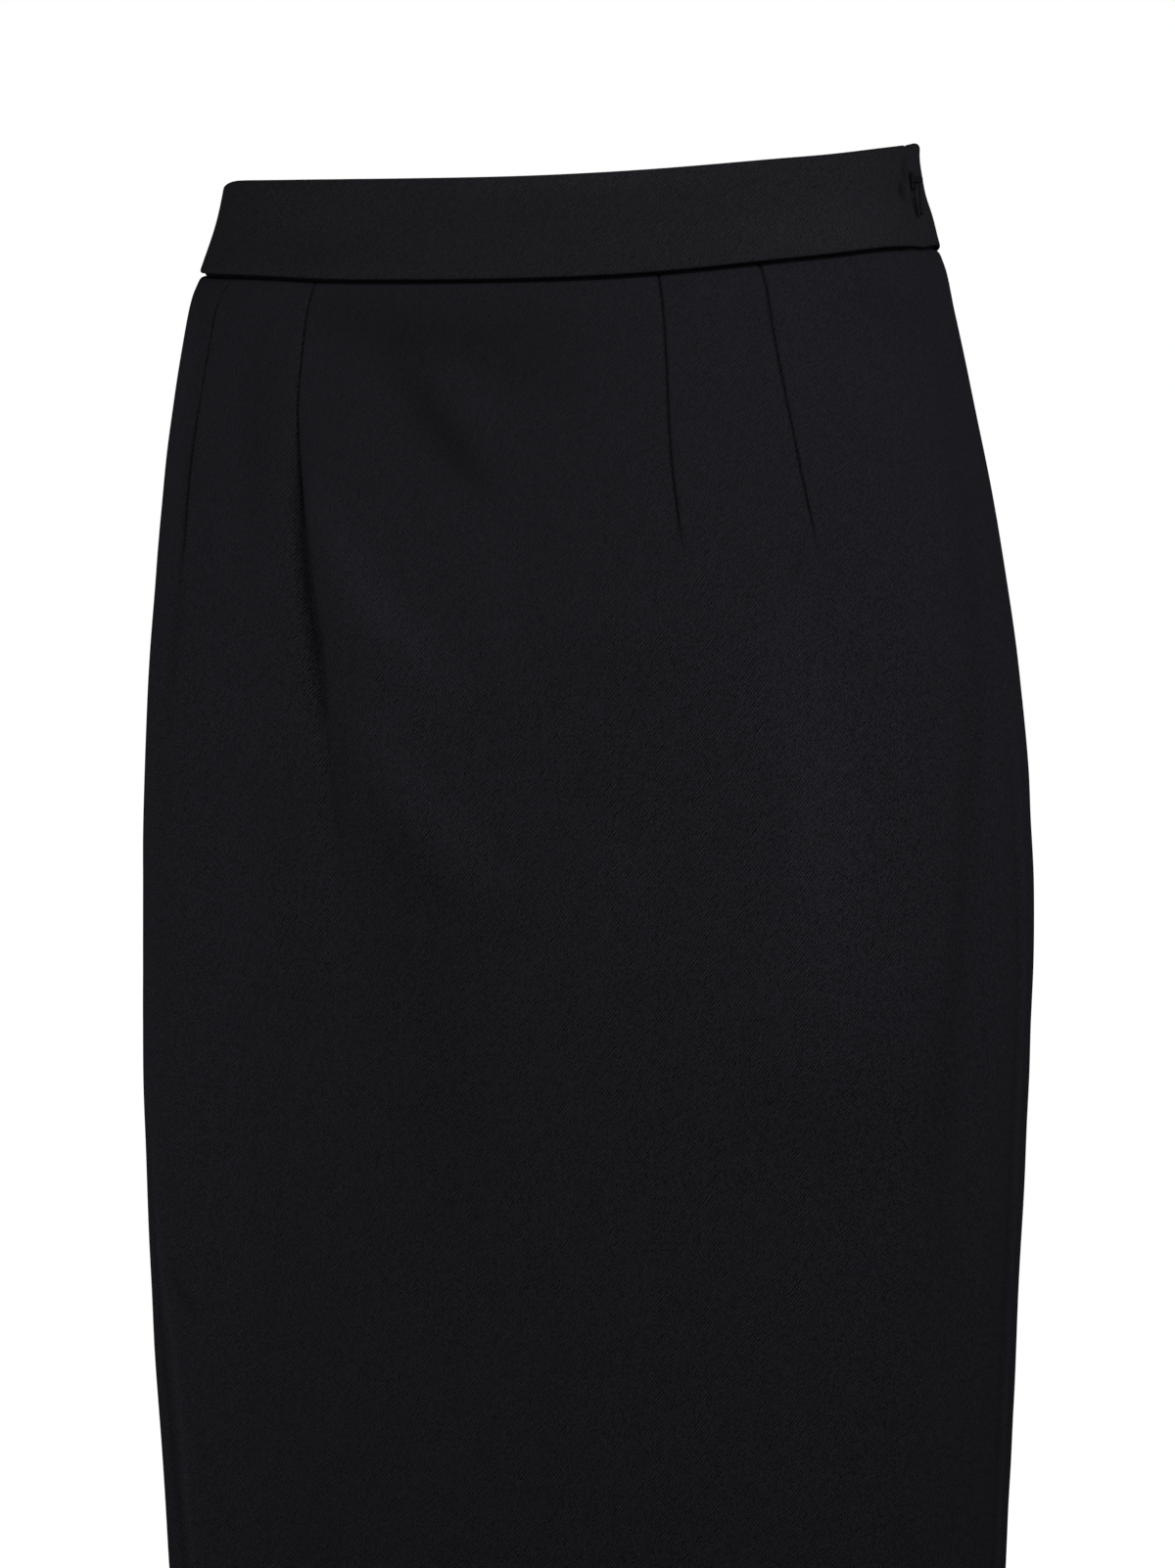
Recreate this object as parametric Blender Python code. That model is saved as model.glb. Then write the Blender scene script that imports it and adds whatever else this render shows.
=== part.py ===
"""Pencil skirt in its worn, hollow form, as the solids of its cut pieces.

The origin is the middle of the waist opening, at half the waistband's height at the side seams.
+Z is up, -Y is the front and +X is the wearer's left, where the skirt opens.  A place on the
cloth is given by its half (front or back), its share of the way from the centre line to a side
seam (-1 at the wearer's right, 0 at the centre, 1 at the wearer's left) and its drop below the
waistband's upper edge.  Lengths are in millimetres until a mesh is made.
"""

import math
from bisect import bisect_right
from collections import namedtuple
from functools import lru_cache

import bmesh
import bpy
from mathutils import Matrix, Vector

METRES = 0.001
FRONT, BACK = "front", "back"

# Driving dimensions, in millimetres.
LENGTH = 660.0            # upper edge of the waistband to the hem, at the side
SIDE_RISE = 17.5          # height of the upper edge above the origin, at the side seams
BAND_HEIGHT = 37.0
BAND_PROUD = 0.9          # the band's outer face stands out from the skirt's by this
BAND_WALL = 2.8           # two layers of twill over a stiffener
CLOTH = 1.8               # wall of the skirt panels
HEM_DEPTH = 35.0          # turned-up hem allowance
HEM_WALL = 3.0
HEM_STEP = 3.0            # height over which the wall thickens to the hem's
SEAM_GAP = 0.3
BAND_GAP = 0.4
TURN_IN = 0.5             # the panels sink by this where they meet the band
TURN_HEIGHT = 3.0
DART_DEPTH = 0.9          # how far a sewn dart sinks into the cloth's face
DART_HALF_WIDTH = 2.5
DART_FADE = 18.0          # a dart runs out over this height above its tip
VENT_TOP = LENGTH - 170.0
VENT_LAP = 36.0           # how far the under layer of the vent reaches past the centre back
VENT_RAMP = 20.0          # the cloth sinks to the under layer over this height
VENT_STEP = 6.0           # and over this width
LAP_GAP = 0.4             # clearance between the vent's two layers
CLOSURE_TOP_GAP = 3.0     # the band's ends gape at the upper edge
CLOSURE_GAP = 1.0         # and meet over the zip
CLOSURE_GAPE = 20.0       # height of the gape
ZIP_BOTTOM = 200.0
ZIP_TAPE_WIDTH = 22.0
ZIP_TAPE = 0.8
ZIP_CLEAR = 0.35          # clearance between the tape and the cloth in front of it
SLIDER_DROP = 13.0        # middle of the zip's slider
TAPE_BELOW_SLIDER = 6.0   # the strip of closed tape starts this far below that middle
HOOK_DROP = 5.0
WIRE = 0.4                # radius of the hook's and the eye's wire

# The form: level sections through the skirt.  half_width, front and back are measured from the
# vertical axis, the squares are the exponents of each half's rounded section, seam_back is how far
# the side seams lie behind the axis, and sway moves the section towards the wearer's left.
Section = namedtuple("Section", "drop half_width front back front_square back_square seam_back sway")
SECTIONS = (
    Section(0, 128.9, 92, 92, 2.9, 2.85, 0, 0.3),
    Section(19, 132.1, 94, 95, 2.9, 2.6, 0, -0.9),
    Section(37, 137.2, 98, 101, 2.9, 2.9, 0, -1.6),
    Section(60, 143.6, 102, 110, 2.85, 2.75, 1, -2.3),
    Section(100, 151.8, 107, 122, 2.8, 2.75, 3, -2.0),
    Section(150, 159.6, 111, 133, 2.75, 2.65, 5, -0.3),
    Section(200, 166.2, 112, 138, 2.7, 2.65, 7, 0.5),
    Section(250, 169.9, 112, 138, 2.7, 2.7, 8, 1.5),
    Section(300, 171.4, 112, 135, 2.7, 2.7, 9, 1.8),
    Section(370, 170.8, 111, 130, 2.7, 2.7, 9, 0.9),
    Section(450, 167.7, 110, 124, 2.75, 2.75, 9, 1.2),
    Section(550, 162.8, 108, 119, 2.8, 2.8, 9, 2.6),
    Section(LENGTH, 156.5, 106, 116, 2.8, 2.8, 9, 3.4),
)

# Height of the waistband's upper edge above the origin, by share of the half.
Rise = namedtuple("Rise", "share height")
WAISTLINE = {
    FRONT: (Rise(-1, 14.0), Rise(-0.7, 7.3), Rise(-0.42, 3.9), Rise(0, 2.1), Rise(0.31, 3.3),
            Rise(0.61, 8.1), Rise(0.84, 13.8), Rise(1, SIDE_RISE)),
    BACK: (Rise(-1, 14.0), Rise(-0.6, 10.5), Rise(0, 11.0), Rise(0.5, 16.5), Rise(0.84, 20.5),
           Rise(1, SIDE_RISE)),
}

# How far the seam under the waistband lies below its even course, by share of the half.  The
# waistband above it and the cloth below it follow it over these heights.
Dip = namedtuple("Dip", "share depth")
WAIST_SEAM = {
    FRONT: (Dip(-1, -0.9), Dip(-0.7, -1.5), Dip(-0.47, -1.1), Dip(-0.3, 0.2), Dip(0, 0.45),
            Dip(0.3, 0.3), Dip(0.55, -1.0), Dip(0.75, -1.6), Dip(0.88, -0.8), Dip(1, 0.7)),
    BACK: (Dip(-1, -0.9), Dip(-0.6, 0.0), Dip(0, 0.0), Dip(0.5, 0.3), Dip(0.8, 1.1), Dip(1, 0.7)),
}
DIP_TOP, DIP_FULL, DIP_EASES, DIP_GONE = 4.0, 34.0, 45.0, 145.0     # drops

# Darts run from the waistband to their tip.  Each path is share by drop: its last rows lead the
# panel's edges on to the hem.
Dart = namedtuple("Dart", "half tip path")
DARTS = (
    Dart(FRONT, 138, ((37, -0.538), (50, -0.556), (80, -0.560), (138, -0.564), (300, -0.56),
                      (LENGTH, -0.57))),
    Dart(FRONT, 137, ((37, -0.328), (70, -0.323), (98, -0.315), (125, -0.300), (154, -0.280),
                      (177, -0.264), (221, -0.236), (254, -0.222), (400, -0.25),
                      (LENGTH, -0.29))),
    Dart(FRONT, 133, ((37, 0.331), (60, 0.336), (102, 0.334), (133, 0.338), (300, 0.33),
                      (LENGTH, 0.31))),
    Dart(FRONT, 136, ((37, 0.511), (69, 0.521), (106, 0.537), (136, 0.549), (300, 0.56),
                      (LENGTH, 0.57))),
    Dart(BACK, 158, ((37, -0.350), (158, -0.335), (300, -0.33), (LENGTH, -0.33))),
    Dart(BACK, 142, ((37, -0.600), (142, -0.600), (300, -0.60), (LENGTH, -0.62))),
    Dart(BACK, 158, ((37, 0.350), (158, 0.335), (300, 0.33), (LENGTH, 0.33))),
    Dart(BACK, 142, ((37, 0.600), (142, 0.600), (300, 0.60), (LENGTH, 0.62))),
)

# Soft folds of the worn cloth.  A fold is a ridge where its height is above zero, else a trough.
Fold = namedtuple("Fold", "half height width path")
FOLDS = (
    # The front, from the crease that carries on the dart on the wearer's right.
    Fold(FRONT, -3.2, 5.0, ((-0.317, 88), (-0.303, 122), (-0.282, 154), (-0.264, 177),
                            (-0.236, 221), (-0.221, 266))),
    Fold(FRONT, 2.0, 11.0, ((-0.255, 75), (-0.235, 125), (-0.190, 165), (-0.110, 198),
                            (-0.030, 214))),
    Fold(FRONT, 1.6, 20.0, ((-0.200, 60), (-0.170, 120), (-0.120, 165), (-0.030, 190))),
    Fold(FRONT, 2.6, 12.0, ((-0.200, 185), (-0.140, 225), (-0.060, 249), (0.080, 270))),
    Fold(FRONT, 1.6, 20.0, ((-0.120, 195), (-0.060, 222), (0.040, 243))),
    Fold(FRONT, 2.2, 8.0, ((-0.130, 54), (-0.045, 76), (0.055, 104))),
    Fold(FRONT, -3.4, 8.0, ((-0.175, 68), (-0.075, 93), (0.030, 122))),
    Fold(FRONT, 2.0, 13.0, ((0.130, 160), (0.230, 167), (0.330, 169))),
    Fold(FRONT, 1.6, 14.0, ((-0.640, 198), (-0.420, 208), (-0.300, 214), (-0.230, 218))),
    Fold(FRONT, -1.6, 11.0, ((-0.440, 50), (-0.425, 100), (-0.400, 150), (-0.380, 200))),
    Fold(FRONT, -3.2, 26.0, ((0.620, 90), (0.580, 180), (0.510, 245))),
    Fold(FRONT, 3.0, 27.0, ((0.360, 305), (0.500, 322), (0.610, 322), (0.690, 300))),
    Fold(FRONT, 2.4, 14.0, ((0.680, 170), (0.680, 260), (0.660, 340), (0.650, 460),
                            (0.655, 580))),
    Fold(FRONT, -2.6, 13.0, ((0.800, 130), (0.805, 260), (0.790, 390), (0.785, 580))),
    Fold(FRONT, -1.3, 6.0, ((-0.650, 420), (-0.618, 475), (-0.600, 510), (-0.590, 600),
                            (-0.590, 650))),
    Fold(FRONT, 0.9, 7.0, ((-0.610, 430), (-0.580, 490), (-0.560, 540), (-0.555, 640))),
    # The back: a dip under the band, drag lines from the seat, and pulls above the vent.
    Fold(BACK, -1.6, 13.0, ((-0.520, 62), (-0.200, 78), (0.150, 80), (0.500, 66))),
    Fold(BACK, 1.0, 12.0, ((-0.450, 95), (-0.100, 108), (0.300, 104))),
    Fold(BACK, -1.5, 11.0, ((-0.860, 235), (-0.620, 268), (-0.350, 292))),
    Fold(BACK, -1.4, 12.0, ((0.880, 245), (0.640, 282), (0.400, 318))),
    Fold(BACK, 1.2, 13.0, ((-0.800, 290), (-0.560, 322), (-0.300, 345))),
    Fold(BACK, 1.1, 14.0, ((0.780, 205), (0.520, 236), (0.280, 250))),
    Fold(BACK, -1.5, 11.0, ((-0.090, 470), (-0.240, 428), (-0.420, 404))),
    Fold(BACK, -1.3, 10.0, ((0.100, 462), (0.230, 412), (0.360, 372))),
    Fold(BACK, 1.0, 12.0, ((0.160, 520), (0.330, 470), (0.520, 430))),
)
FOLD_FADE = 14.0          # folds die away this far from a seam
FOLD_SAMPLES = 8          # stretches of a fold for each row of its path

# Mesh spacing: rows reach each drop in even steps no longer than the step.
ROW_BANDS = ((150, 15), (310, 20), (VENT_TOP - VENT_RAMP, 40), (VENT_TOP, 20),
             (LENGTH - HEM_DEPTH - HEM_STEP, 45), (LENGTH - HEM_DEPTH, HEM_STEP),
             (LENGTH - 2, 33), (LENGTH, 2))
FRONT_COLUMNS = (6, 3, 5, 5, 3, 6)
BACK_COLUMNS = (5, 3, 5)
LAP_COLUMNS = 3
BAND_STATIONS = 30        # in each half
TAPE_ROWS = 12
TAPE_COLUMNS = 4
OUTLINE_STEPS = 360

BLACK_TWILL = (0.010, 0.0095, 0.012, 1.0)
BLACK_TAPE = (0.008, 0.008, 0.009, 1.0)
BLACK_METAL = (0.020, 0.020, 0.022, 1.0)


def curve(table, x):
    """Smooth value at x through rows of (x, value, ...), as a tuple of the values."""
    last = len(table) - 2
    i = min(max(bisect_right([row[0] for row in table], x) - 1, 0), last)
    before, start, end = table[max(i - 1, 0)], table[i], table[i + 1]
    after = table[min(i + 2, last + 1)]
    span = end[0] - start[0]
    t = (x - start[0]) / span
    values = []
    for k in range(1, len(start)):
        slope_in = (end[k] - before[k]) / (end[0] - before[0]) * span
        slope_out = (after[k] - start[k]) / (after[0] - start[0]) * span
        values.append((2 * t**3 - 3 * t**2 + 1) * start[k] + (t**3 - 2 * t**2 + t) * slope_in
                      + (3 * t**2 - 2 * t**3) * end[k] + (t**3 - t**2) * slope_out)
    return tuple(values)


def smoothstep(x):
    """0 below 0, 1 above 1, and a soft rise between."""
    x = min(max(x, 0.0), 1.0)
    return x * x * (3 - 2 * x)


@lru_cache(maxsize=None)
def half_outline(half, drop):
    """Points and running lengths along half a section, from the right seam to the left one."""
    width, front, back, front_square, back_square, seam_back, sway = curve(SECTIONS, drop)
    if half == FRONT:
        depth, squareness = -(front + seam_back), front_square
    else:
        depth, squareness = back - seam_back, back_square
    points = []
    for step in range(OUTLINE_STEPS + 1):
        angle = math.pi * (1 - step / OUTLINE_STEPS)
        c, s = math.cos(angle), math.sin(angle)
        x = math.copysign(abs(c) ** (2 / squareness), c) * width + sway
        points.append((x, depth * abs(s) ** (2 / squareness) + seam_back))
    lengths = [0.0]
    for a, b in zip(points, points[1:]):
        lengths.append(lengths[-1] + math.dist(a, b))
    return points, lengths


def arc(half, drop):
    """Length of half a section from its centre line to a side seam."""
    return half_outline(half, round(drop, 3))[1][-1] / 2


def wrapped(half, share, drop):
    """The same place with a share beyond a side seam counted on the other half."""
    if abs(share) <= 1:
        return half, share
    other = BACK if half == FRONT else FRONT
    past = (abs(share) - 1) * arc(half, drop) / arc(other, drop)
    return other, math.copysign(1 - past, share)


def form_point(half, share, drop):
    """The point of the plain form at a place."""
    half, share = wrapped(half, share, drop)
    points, lengths = half_outline(half, round(drop, 3))
    along = (share + 1) / 2 * lengths[-1]
    i = min(max(bisect_right(lengths, along) - 1, 0), OUTLINE_STEPS - 1)
    t = (along - lengths[i]) / (lengths[i + 1] - lengths[i])
    x = points[i][0] + t * (points[i + 1][0] - points[i][0])
    y = points[i][1] + t * (points[i + 1][1] - points[i][1])
    rim = curve(WAISTLINE[half], share)[0]
    hem = SIDE_RISE - LENGTH
    follow = smoothstep((drop - DIP_TOP) / (DIP_FULL - DIP_TOP))
    follow -= smoothstep((drop - DIP_EASES) / (DIP_GONE - DIP_EASES))
    dip = curve(WAIST_SEAM[half], share)[0] * follow
    return Vector((x, y, rim + (hem - rim) * drop / LENGTH - dip))


def outward(half, share, drop):
    """Unit vector out of the form at a place."""
    reach = 2.0 / arc(half, drop)
    across = form_point(half, share + reach, drop) - form_point(half, share - reach, drop)
    down = form_point(half, share, drop + 2) - form_point(half, share, max(drop - 2, 0))
    normal = down.cross(across).normalized()
    return normal if half == FRONT else -normal


@lru_cache(maxsize=None)
def fold_samples(fold):
    """Short stretches of a fold, as (share, drop, lift), which run out at both its ends."""
    rows = [(k, *row) for k, row in enumerate(fold.path)]
    count = FOLD_SAMPLES * len(rows)
    places = [curve(rows, k * (len(rows) - 1) / count) for k in range(count + 1)]
    samples = []
    for k, ((s0, d0), (s1, d1)) in enumerate(zip(places, places[1:])):
        share, drop = (s0 + s1) / 2, (d0 + d1) / 2
        length = math.hypot((s1 - s0) * arc(fold.half, drop), d1 - d0)
        swell = math.sin(math.pi * (k + 0.5) / count) ** 0.7
        lift = fold.height * swell * length / (fold.width * math.sqrt(math.pi))
        samples.append((share, drop, lift))
    return samples


def fold_height(half, share, drop):
    """How far the soft folds lift the cloth at a place."""
    reach = arc(half, drop)
    total = 0.0
    for fold in FOLDS:
        if fold.half != half:
            continue
        for s, d, lift in fold_samples(fold):
            apart = ((share - s) * reach) ** 2 + (drop - d) ** 2
            total += lift * math.exp(-apart / fold.width**2)
    edge = min((1 - abs(share)) * reach, drop - BAND_HEIGHT)
    if half == BACK:
        edge = min(edge, abs(share) * reach)
    return total * smoothstep(edge / FOLD_FADE)


def wall(drop):
    """Thickness of a panel, double at the turned-up hem."""
    return CLOTH + (HEM_WALL - CLOTH) * smoothstep((drop - LENGTH + HEM_DEPTH) / HEM_STEP + 1)


def on_cloth(half, share, drop, lift=0.0):
    """A point on the folded cloth's outer face, moved out by lift."""
    height = fold_height(half, share, drop) + lift
    return form_point(half, share, drop) + outward(half, share, drop) * height


def row_drops():
    """Drops of a panel's rows, from just under the waistband to the hem."""
    drops = [BAND_HEIGHT + BAND_GAP, BAND_HEIGHT + BAND_GAP + TURN_HEIGHT]
    for end, step in ROW_BANDS:
        start = drops[-1]
        count = max(1, math.ceil((end - start) / step))
        drops += [start + (end - start) * k / count for k in range(1, count + 1)]
    return drops


def dart_share(dart, drop):
    """Where a dart's line, or its run on to the hem, crosses a drop."""
    return curve(dart.path, drop)[0]


def columns_at(half, drop, first, last, counts):
    """Shares of a panel's columns and how far each one sinks into a dart."""
    inside = [dart for dart in DARTS if dart.half == half and first < dart.path[0][1] < last]
    inside.sort(key=lambda dart: dart.path[0][1])
    anchors = [first] + [dart_share(dart, drop) for dart in inside] + [last]
    if half == FRONT:
        anchors.insert(3, 0.0)
    half_width = DART_HALF_WIDTH / arc(half, drop)
    sinks = {dart_share(dart, drop): DART_DEPTH * smoothstep((dart.tip - drop) / DART_FADE)
             for dart in inside}
    columns = []
    for start, end, count in zip(anchors, anchors[1:], counts):
        a = start + (half_width if start in sinks else 0)
        b = end - (half_width if end in sinks else 0)
        if start in sinks:
            columns.append((start, sinks[start]))
        columns += [(a + (b - a) * k / count, 0.0) for k in range(count)]
        if end in sinks:
            columns.append((b, 0.0))
    return columns + [(last, 0.0)]


def sink_at_band(drop):
    """The panels turn in a little under the waistband."""
    return TURN_IN * smoothstep(1 - (drop - BAND_HEIGHT - BAND_GAP) / TURN_HEIGHT)


def metres(point):
    return point * METRES


def wall_mesh(name, outer, inner):
    """A closed wall between two equal grids.  A missing point is None in both."""
    bm = bmesh.new()
    rows, columns = len(outer), len(outer[0])
    sides = []
    for grid in (outer, inner):
        sides.append([[bm.verts.new(metres(p)) if p is not None else None for p in row]
                      for row in grid])
    out, back = sides

    def whole(r, c):
        inside = 0 <= r < rows - 1 and 0 <= c < columns - 1
        return inside and None not in (out[r][c], out[r][c + 1], out[r + 1][c], out[r + 1][c + 1])

    for r in range(rows - 1):
        for c in range(columns - 1):
            if not whole(r, c):
                continue
            corners = ((r, c), (r + 1, c), (r + 1, c + 1), (r, c + 1))
            bm.faces.new([out[i][j] for i, j in corners])
            bm.faces.new([back[i][j] for i, j in reversed(corners)])
            beyond = ((r, c - 1), (r + 1, c), (r, c + 1), (r - 1, c))
            for k, (i, j) in enumerate(beyond):
                if whole(i, j):
                    continue
                (r0, c0), (r1, c1) = corners[k], corners[(k + 1) % 4]
                bm.faces.new((out[r1][c1], out[r0][c0], back[r0][c0], back[r1][c1]))
    loose = [v for v in bm.verts if not v.link_faces]
    bmesh.ops.delete(bm, geom=loose, context="VERTS")
    bmesh.ops.recalc_face_normals(bm, faces=bm.faces)
    bmesh.ops.triangulate(bm, faces=bm.faces, quad_method="SHORT_EDGE")
    mesh = bpy.data.meshes.new(name)
    bm.to_mesh(mesh)
    bm.free()
    return mesh


def material(name, colour, roughness, metallic=0.0):
    made = bpy.data.materials.new(name)
    made.use_nodes = True
    shader = made.node_tree.nodes["Principled BSDF"]
    shader.inputs["Base Color"].default_value = colour
    shader.inputs["Roughness"].default_value = roughness
    shader.inputs["Metallic"].default_value = metallic
    made.diffuse_color = colour
    return made


def add_object(name, mesh, finish, collection):
    made = bpy.data.objects.new(name, mesh)
    mesh.materials.clear()
    mesh.materials.append(finish)
    mesh.shade_smooth()
    mesh.set_sharp_from_angle(angle=math.radians(40))
    collection.objects.link(made)
    return made


# The panels.

def front_panel(finish, collection):
    """The front in one piece between the side seams, with four darts."""
    outer, inner = [], []
    for drop in row_drops():
        end = 1 - SEAM_GAP / 2 / arc(FRONT, drop)
        columns = columns_at(FRONT, drop, -end, end, FRONT_COLUMNS)
        turn = sink_at_band(drop)
        outer.append([on_cloth(FRONT, share, drop, -sink - turn) for share, sink in columns])
        inner.append([on_cloth(FRONT, share, drop, -wall(drop)) for share, sink in columns])
    return add_object("front", wall_mesh("front", outer, inner), finish, collection)


def back_left_panel(finish, collection):
    """The wearer's left back: two darts, and the upper layer of the vent."""
    outer, inner = [], []
    for drop in row_drops():
        gap = SEAM_GAP / 2 / arc(BACK, drop)
        columns = columns_at(BACK, drop, gap, 1 - gap, BACK_COLUMNS)
        turn = sink_at_band(drop)
        outer.append([on_cloth(BACK, share, drop, -sink - turn) for share, sink in columns])
        inner.append([on_cloth(BACK, share, drop, -wall(drop)) for share, sink in columns])
    return add_object("back_left", wall_mesh("back_left", outer, inner), finish, collection)


def back_right_panel(finish, collection):
    """The wearer's right back: two darts, and the under layer of the vent past the centre."""
    outer, inner = [], []
    for drop in row_drops():
        reach = arc(BACK, drop)
        gap = SEAM_GAP / 2 / reach
        step_in = VENT_STEP / reach
        lapped = smoothstep((drop - VENT_TOP + VENT_RAMP) / VENT_RAMP)
        under = (wall(drop) + LAP_GAP) * lapped
        turn = sink_at_band(drop)
        columns = columns_at(BACK, drop, -1 + gap, -step_in, BACK_COLUMNS)
        places = [(share, sink + turn) for share, sink in columns]
        places.append((-2 * gap, turn + under))
        laps = [VENT_LAP * k / LAP_COLUMNS / reach for k in range(1, LAP_COLUMNS + 1)]
        in_vent = drop >= VENT_TOP - 0.01
        outer_row = [on_cloth(BACK, share, drop, -sink) for share, sink in places]
        inner_row = [on_cloth(BACK, share, drop, -wall(drop) - under * (share == places[-1][0]))
                     for share, sink in places]
        for share in laps:
            outer_row.append(on_cloth(BACK, share, drop, -under) if in_vent else None)
            inner_row.append(on_cloth(BACK, share, drop, -under - wall(drop)) if in_vent else None)
        outer.append(outer_row)
        inner.append(inner_row)
    return add_object("back_right", wall_mesh("back_right", outer, inner), finish, collection)


# The waistband.

BAND_EDGE = 0.6           # the band's lower outer edge is rounded off by this
BAND_OUTER_ROWS = (27.0, 17.0, 8.0)
BAND_INNER_ROWS = (12.0, 25.0)
BAND_TOP_TURN = (60, 25, -25, -60)      # degrees round the folded top


def band_profile():
    """The band's cross-section as (drop, offset) rows, a closed loop round its folded top."""
    face, lining = BAND_PROUD, BAND_PROUD - BAND_WALL
    middle = (face + lining) / 2
    radius = BAND_WALL / 2
    turned = [(radius * (1 - math.cos(a)), middle + radius * math.sin(a))
              for a in map(math.radians, BAND_TOP_TURN)]
    outside = [(BAND_HEIGHT, face - BAND_EDGE), (BAND_HEIGHT - BAND_EDGE, face)]
    outside += [(drop, face) for drop in (*BAND_OUTER_ROWS, radius)]
    inside = [(drop, lining) for drop in (radius, *BAND_INNER_ROWS, BAND_HEIGHT)]
    return outside + turned + inside


def closure_gap(drop):
    """Half the space between the band's ends."""
    wide, narrow = CLOSURE_TOP_GAP / 2, CLOSURE_GAP / 2
    return narrow + (wide - narrow) * smoothstep(1 - drop / CLOSURE_GAPE)


def waistband(finish, collection):
    """One strip, folded along its top, from the closure round the front and back to it again."""
    profile = band_profile()
    bm = bmesh.new()
    rings = []
    for half, order in ((FRONT, 1), (BACK, -1)):
        for k in range(BAND_STATIONS + 1):
            if half == BACK and k == 0:
                continue
            ring = []
            for drop, offset in profile:
                end = 1 - closure_gap(drop) / arc(half, drop)
                t = k / BAND_STATIONS
                share = end + (-1 - end) * t if order == 1 else -1 + (end + 1) * t
                place = form_point(half, share, drop) + outward(half, share, drop) * offset
                ring.append(bm.verts.new(metres(place)))
            rings.append(ring)
    count = len(profile)
    for a, b in zip(rings, rings[1:]):
        for i in range(count):
            j = (i + 1) % count
            bm.faces.new((a[i], a[j], b[j], b[i]))
    bm.faces.new(rings[0])
    bm.faces.new(rings[-1])
    bmesh.ops.recalc_face_normals(bm, faces=bm.faces)
    bmesh.ops.triangulate(bm, faces=bm.faces)
    mesh = bpy.data.meshes.new("waistband")
    bm.to_mesh(mesh)
    bm.free()
    return add_object("waistband", mesh, finish, collection)


# The concealed zip in the wearer's left seam.

def seam_frame(drop):
    """Axes at the left side seam: x out of the cloth, y to the back, z up along the cloth."""
    out = outward(FRONT, 1.0, drop)
    out.y = 0.0
    out.normalize()
    rearward = Vector((0, 1, 0))
    frame = Matrix((out, rearward, out.cross(rearward))).transposed().to_4x4()
    return Matrix.Translation(form_point(FRONT, 1.0, drop)) @ frame


def zip_tape(finish, collection):
    """Both tapes of the closed zip, as one strip behind the seam."""
    top = SLIDER_DROP + TAPE_BELOW_SLIDER
    behind = BAND_PROUD - BAND_WALL - ZIP_CLEAR
    outer, inner = [], []
    for k in range(TAPE_ROWS + 1):
        drop = top + (ZIP_BOTTOM - top) * k / TAPE_ROWS
        shares = [1 + ZIP_TAPE_WIDTH * (c / TAPE_COLUMNS - 0.5) / arc(FRONT, drop)
                  for c in range(TAPE_COLUMNS + 1)]
        for grid, offset in ((outer, behind), (inner, behind - ZIP_TAPE)):
            grid.append([form_point(FRONT, s, drop) + outward(FRONT, s, drop) * offset
                         for s in shares])
    return add_object("zip_tape", wall_mesh("zip_tape", outer, inner), finish, collection)


# The slider's blocks: sizes out of the cloth, along the band and up, and where their middles lie.
SliderBlock = namedtuple("SliderBlock", "name out along up middle_out middle_along")
SLIDER_BLOCKS = (
    SliderBlock("slider_body", 2.6, 6.0, 9.0, -3.6, 0),
    SliderBlock("slider_neck", 5.2, 0.7, 5.0, -0.6, 0),
    SliderBlock("slider_plate", 0.7, 4.0, 6.4, 1.6, 0),
    SliderBlock("slider_ear_front", 3.1, 0.7, 1.9, 3.2, -1.6),
    SliderBlock("slider_ear_back", 3.1, 0.7, 1.9, 3.2, 1.6),
)
PIN_OUT = 3.7             # the pull's pin stands this far out of the form
PIN_RADIUS = 0.5
PIN_LENGTH = 3.2
RING_HOLE = 0.85
RING_RADIUS = 1.4
RING_WIDTH = 1.6
PULL_LENGTH = 13.0
PULL_WIDTH = 3.2
PULL_PLATE = 0.9
PULL_TOP = 0.9            # the plate starts this far below the pin, in the ring's wall
PULL_TURNS = 6
ROUND_SIDES = 16


def block(name, size, centre, collection):
    """A box of size (out, along the band, up) with its centre there, in millimetres."""
    bm = bmesh.new()
    bmesh.ops.create_cube(bm, size=1.0)
    bmesh.ops.scale(bm, vec=size, verts=bm.verts)
    bmesh.ops.translate(bm, vec=centre, verts=bm.verts)
    mesh = bpy.data.meshes.new(name)
    bm.to_mesh(mesh)
    bm.free()
    made = bpy.data.objects.new(name, mesh)
    collection.objects.link(made)
    return made


def round_bar(name, radius, width, centre, collection):
    """A cylinder of that width along the band."""
    bm = bmesh.new()
    bmesh.ops.create_cone(bm, cap_ends=True, segments=ROUND_SIDES, radius1=radius,
                          radius2=radius, depth=width)
    bmesh.ops.rotate(bm, matrix=Matrix.Rotation(math.pi / 2, 3, "X"), verts=bm.verts)
    bmesh.ops.translate(bm, vec=centre, verts=bm.verts)
    mesh = bpy.data.meshes.new(name)
    bm.to_mesh(mesh)
    bm.free()
    made = bpy.data.objects.new(name, mesh)
    collection.objects.link(made)
    return made


def combined(base, steps, frame, name, finish, collection):
    """The base with Boolean steps of (operation, object), placed by a frame in millimetres."""
    for operation, other in steps:
        other.hide_render = True
        other.display_type = "WIRE"
        modifier = base.modifiers.new(operation.title(), "BOOLEAN")
        modifier.operation = operation
        modifier.solver = "EXACT"
        modifier.object = other
    graph = bpy.context.evaluated_depsgraph_get()
    mesh = bpy.data.meshes.new_from_object(base.evaluated_get(graph))
    for piece in [base] + [other for _, other in steps]:
        bpy.data.objects.remove(piece)
    mesh.transform(Matrix.Scale(METRES, 4) @ frame)
    mesh.name = name
    return add_object(name, mesh, finish, collection)


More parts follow.
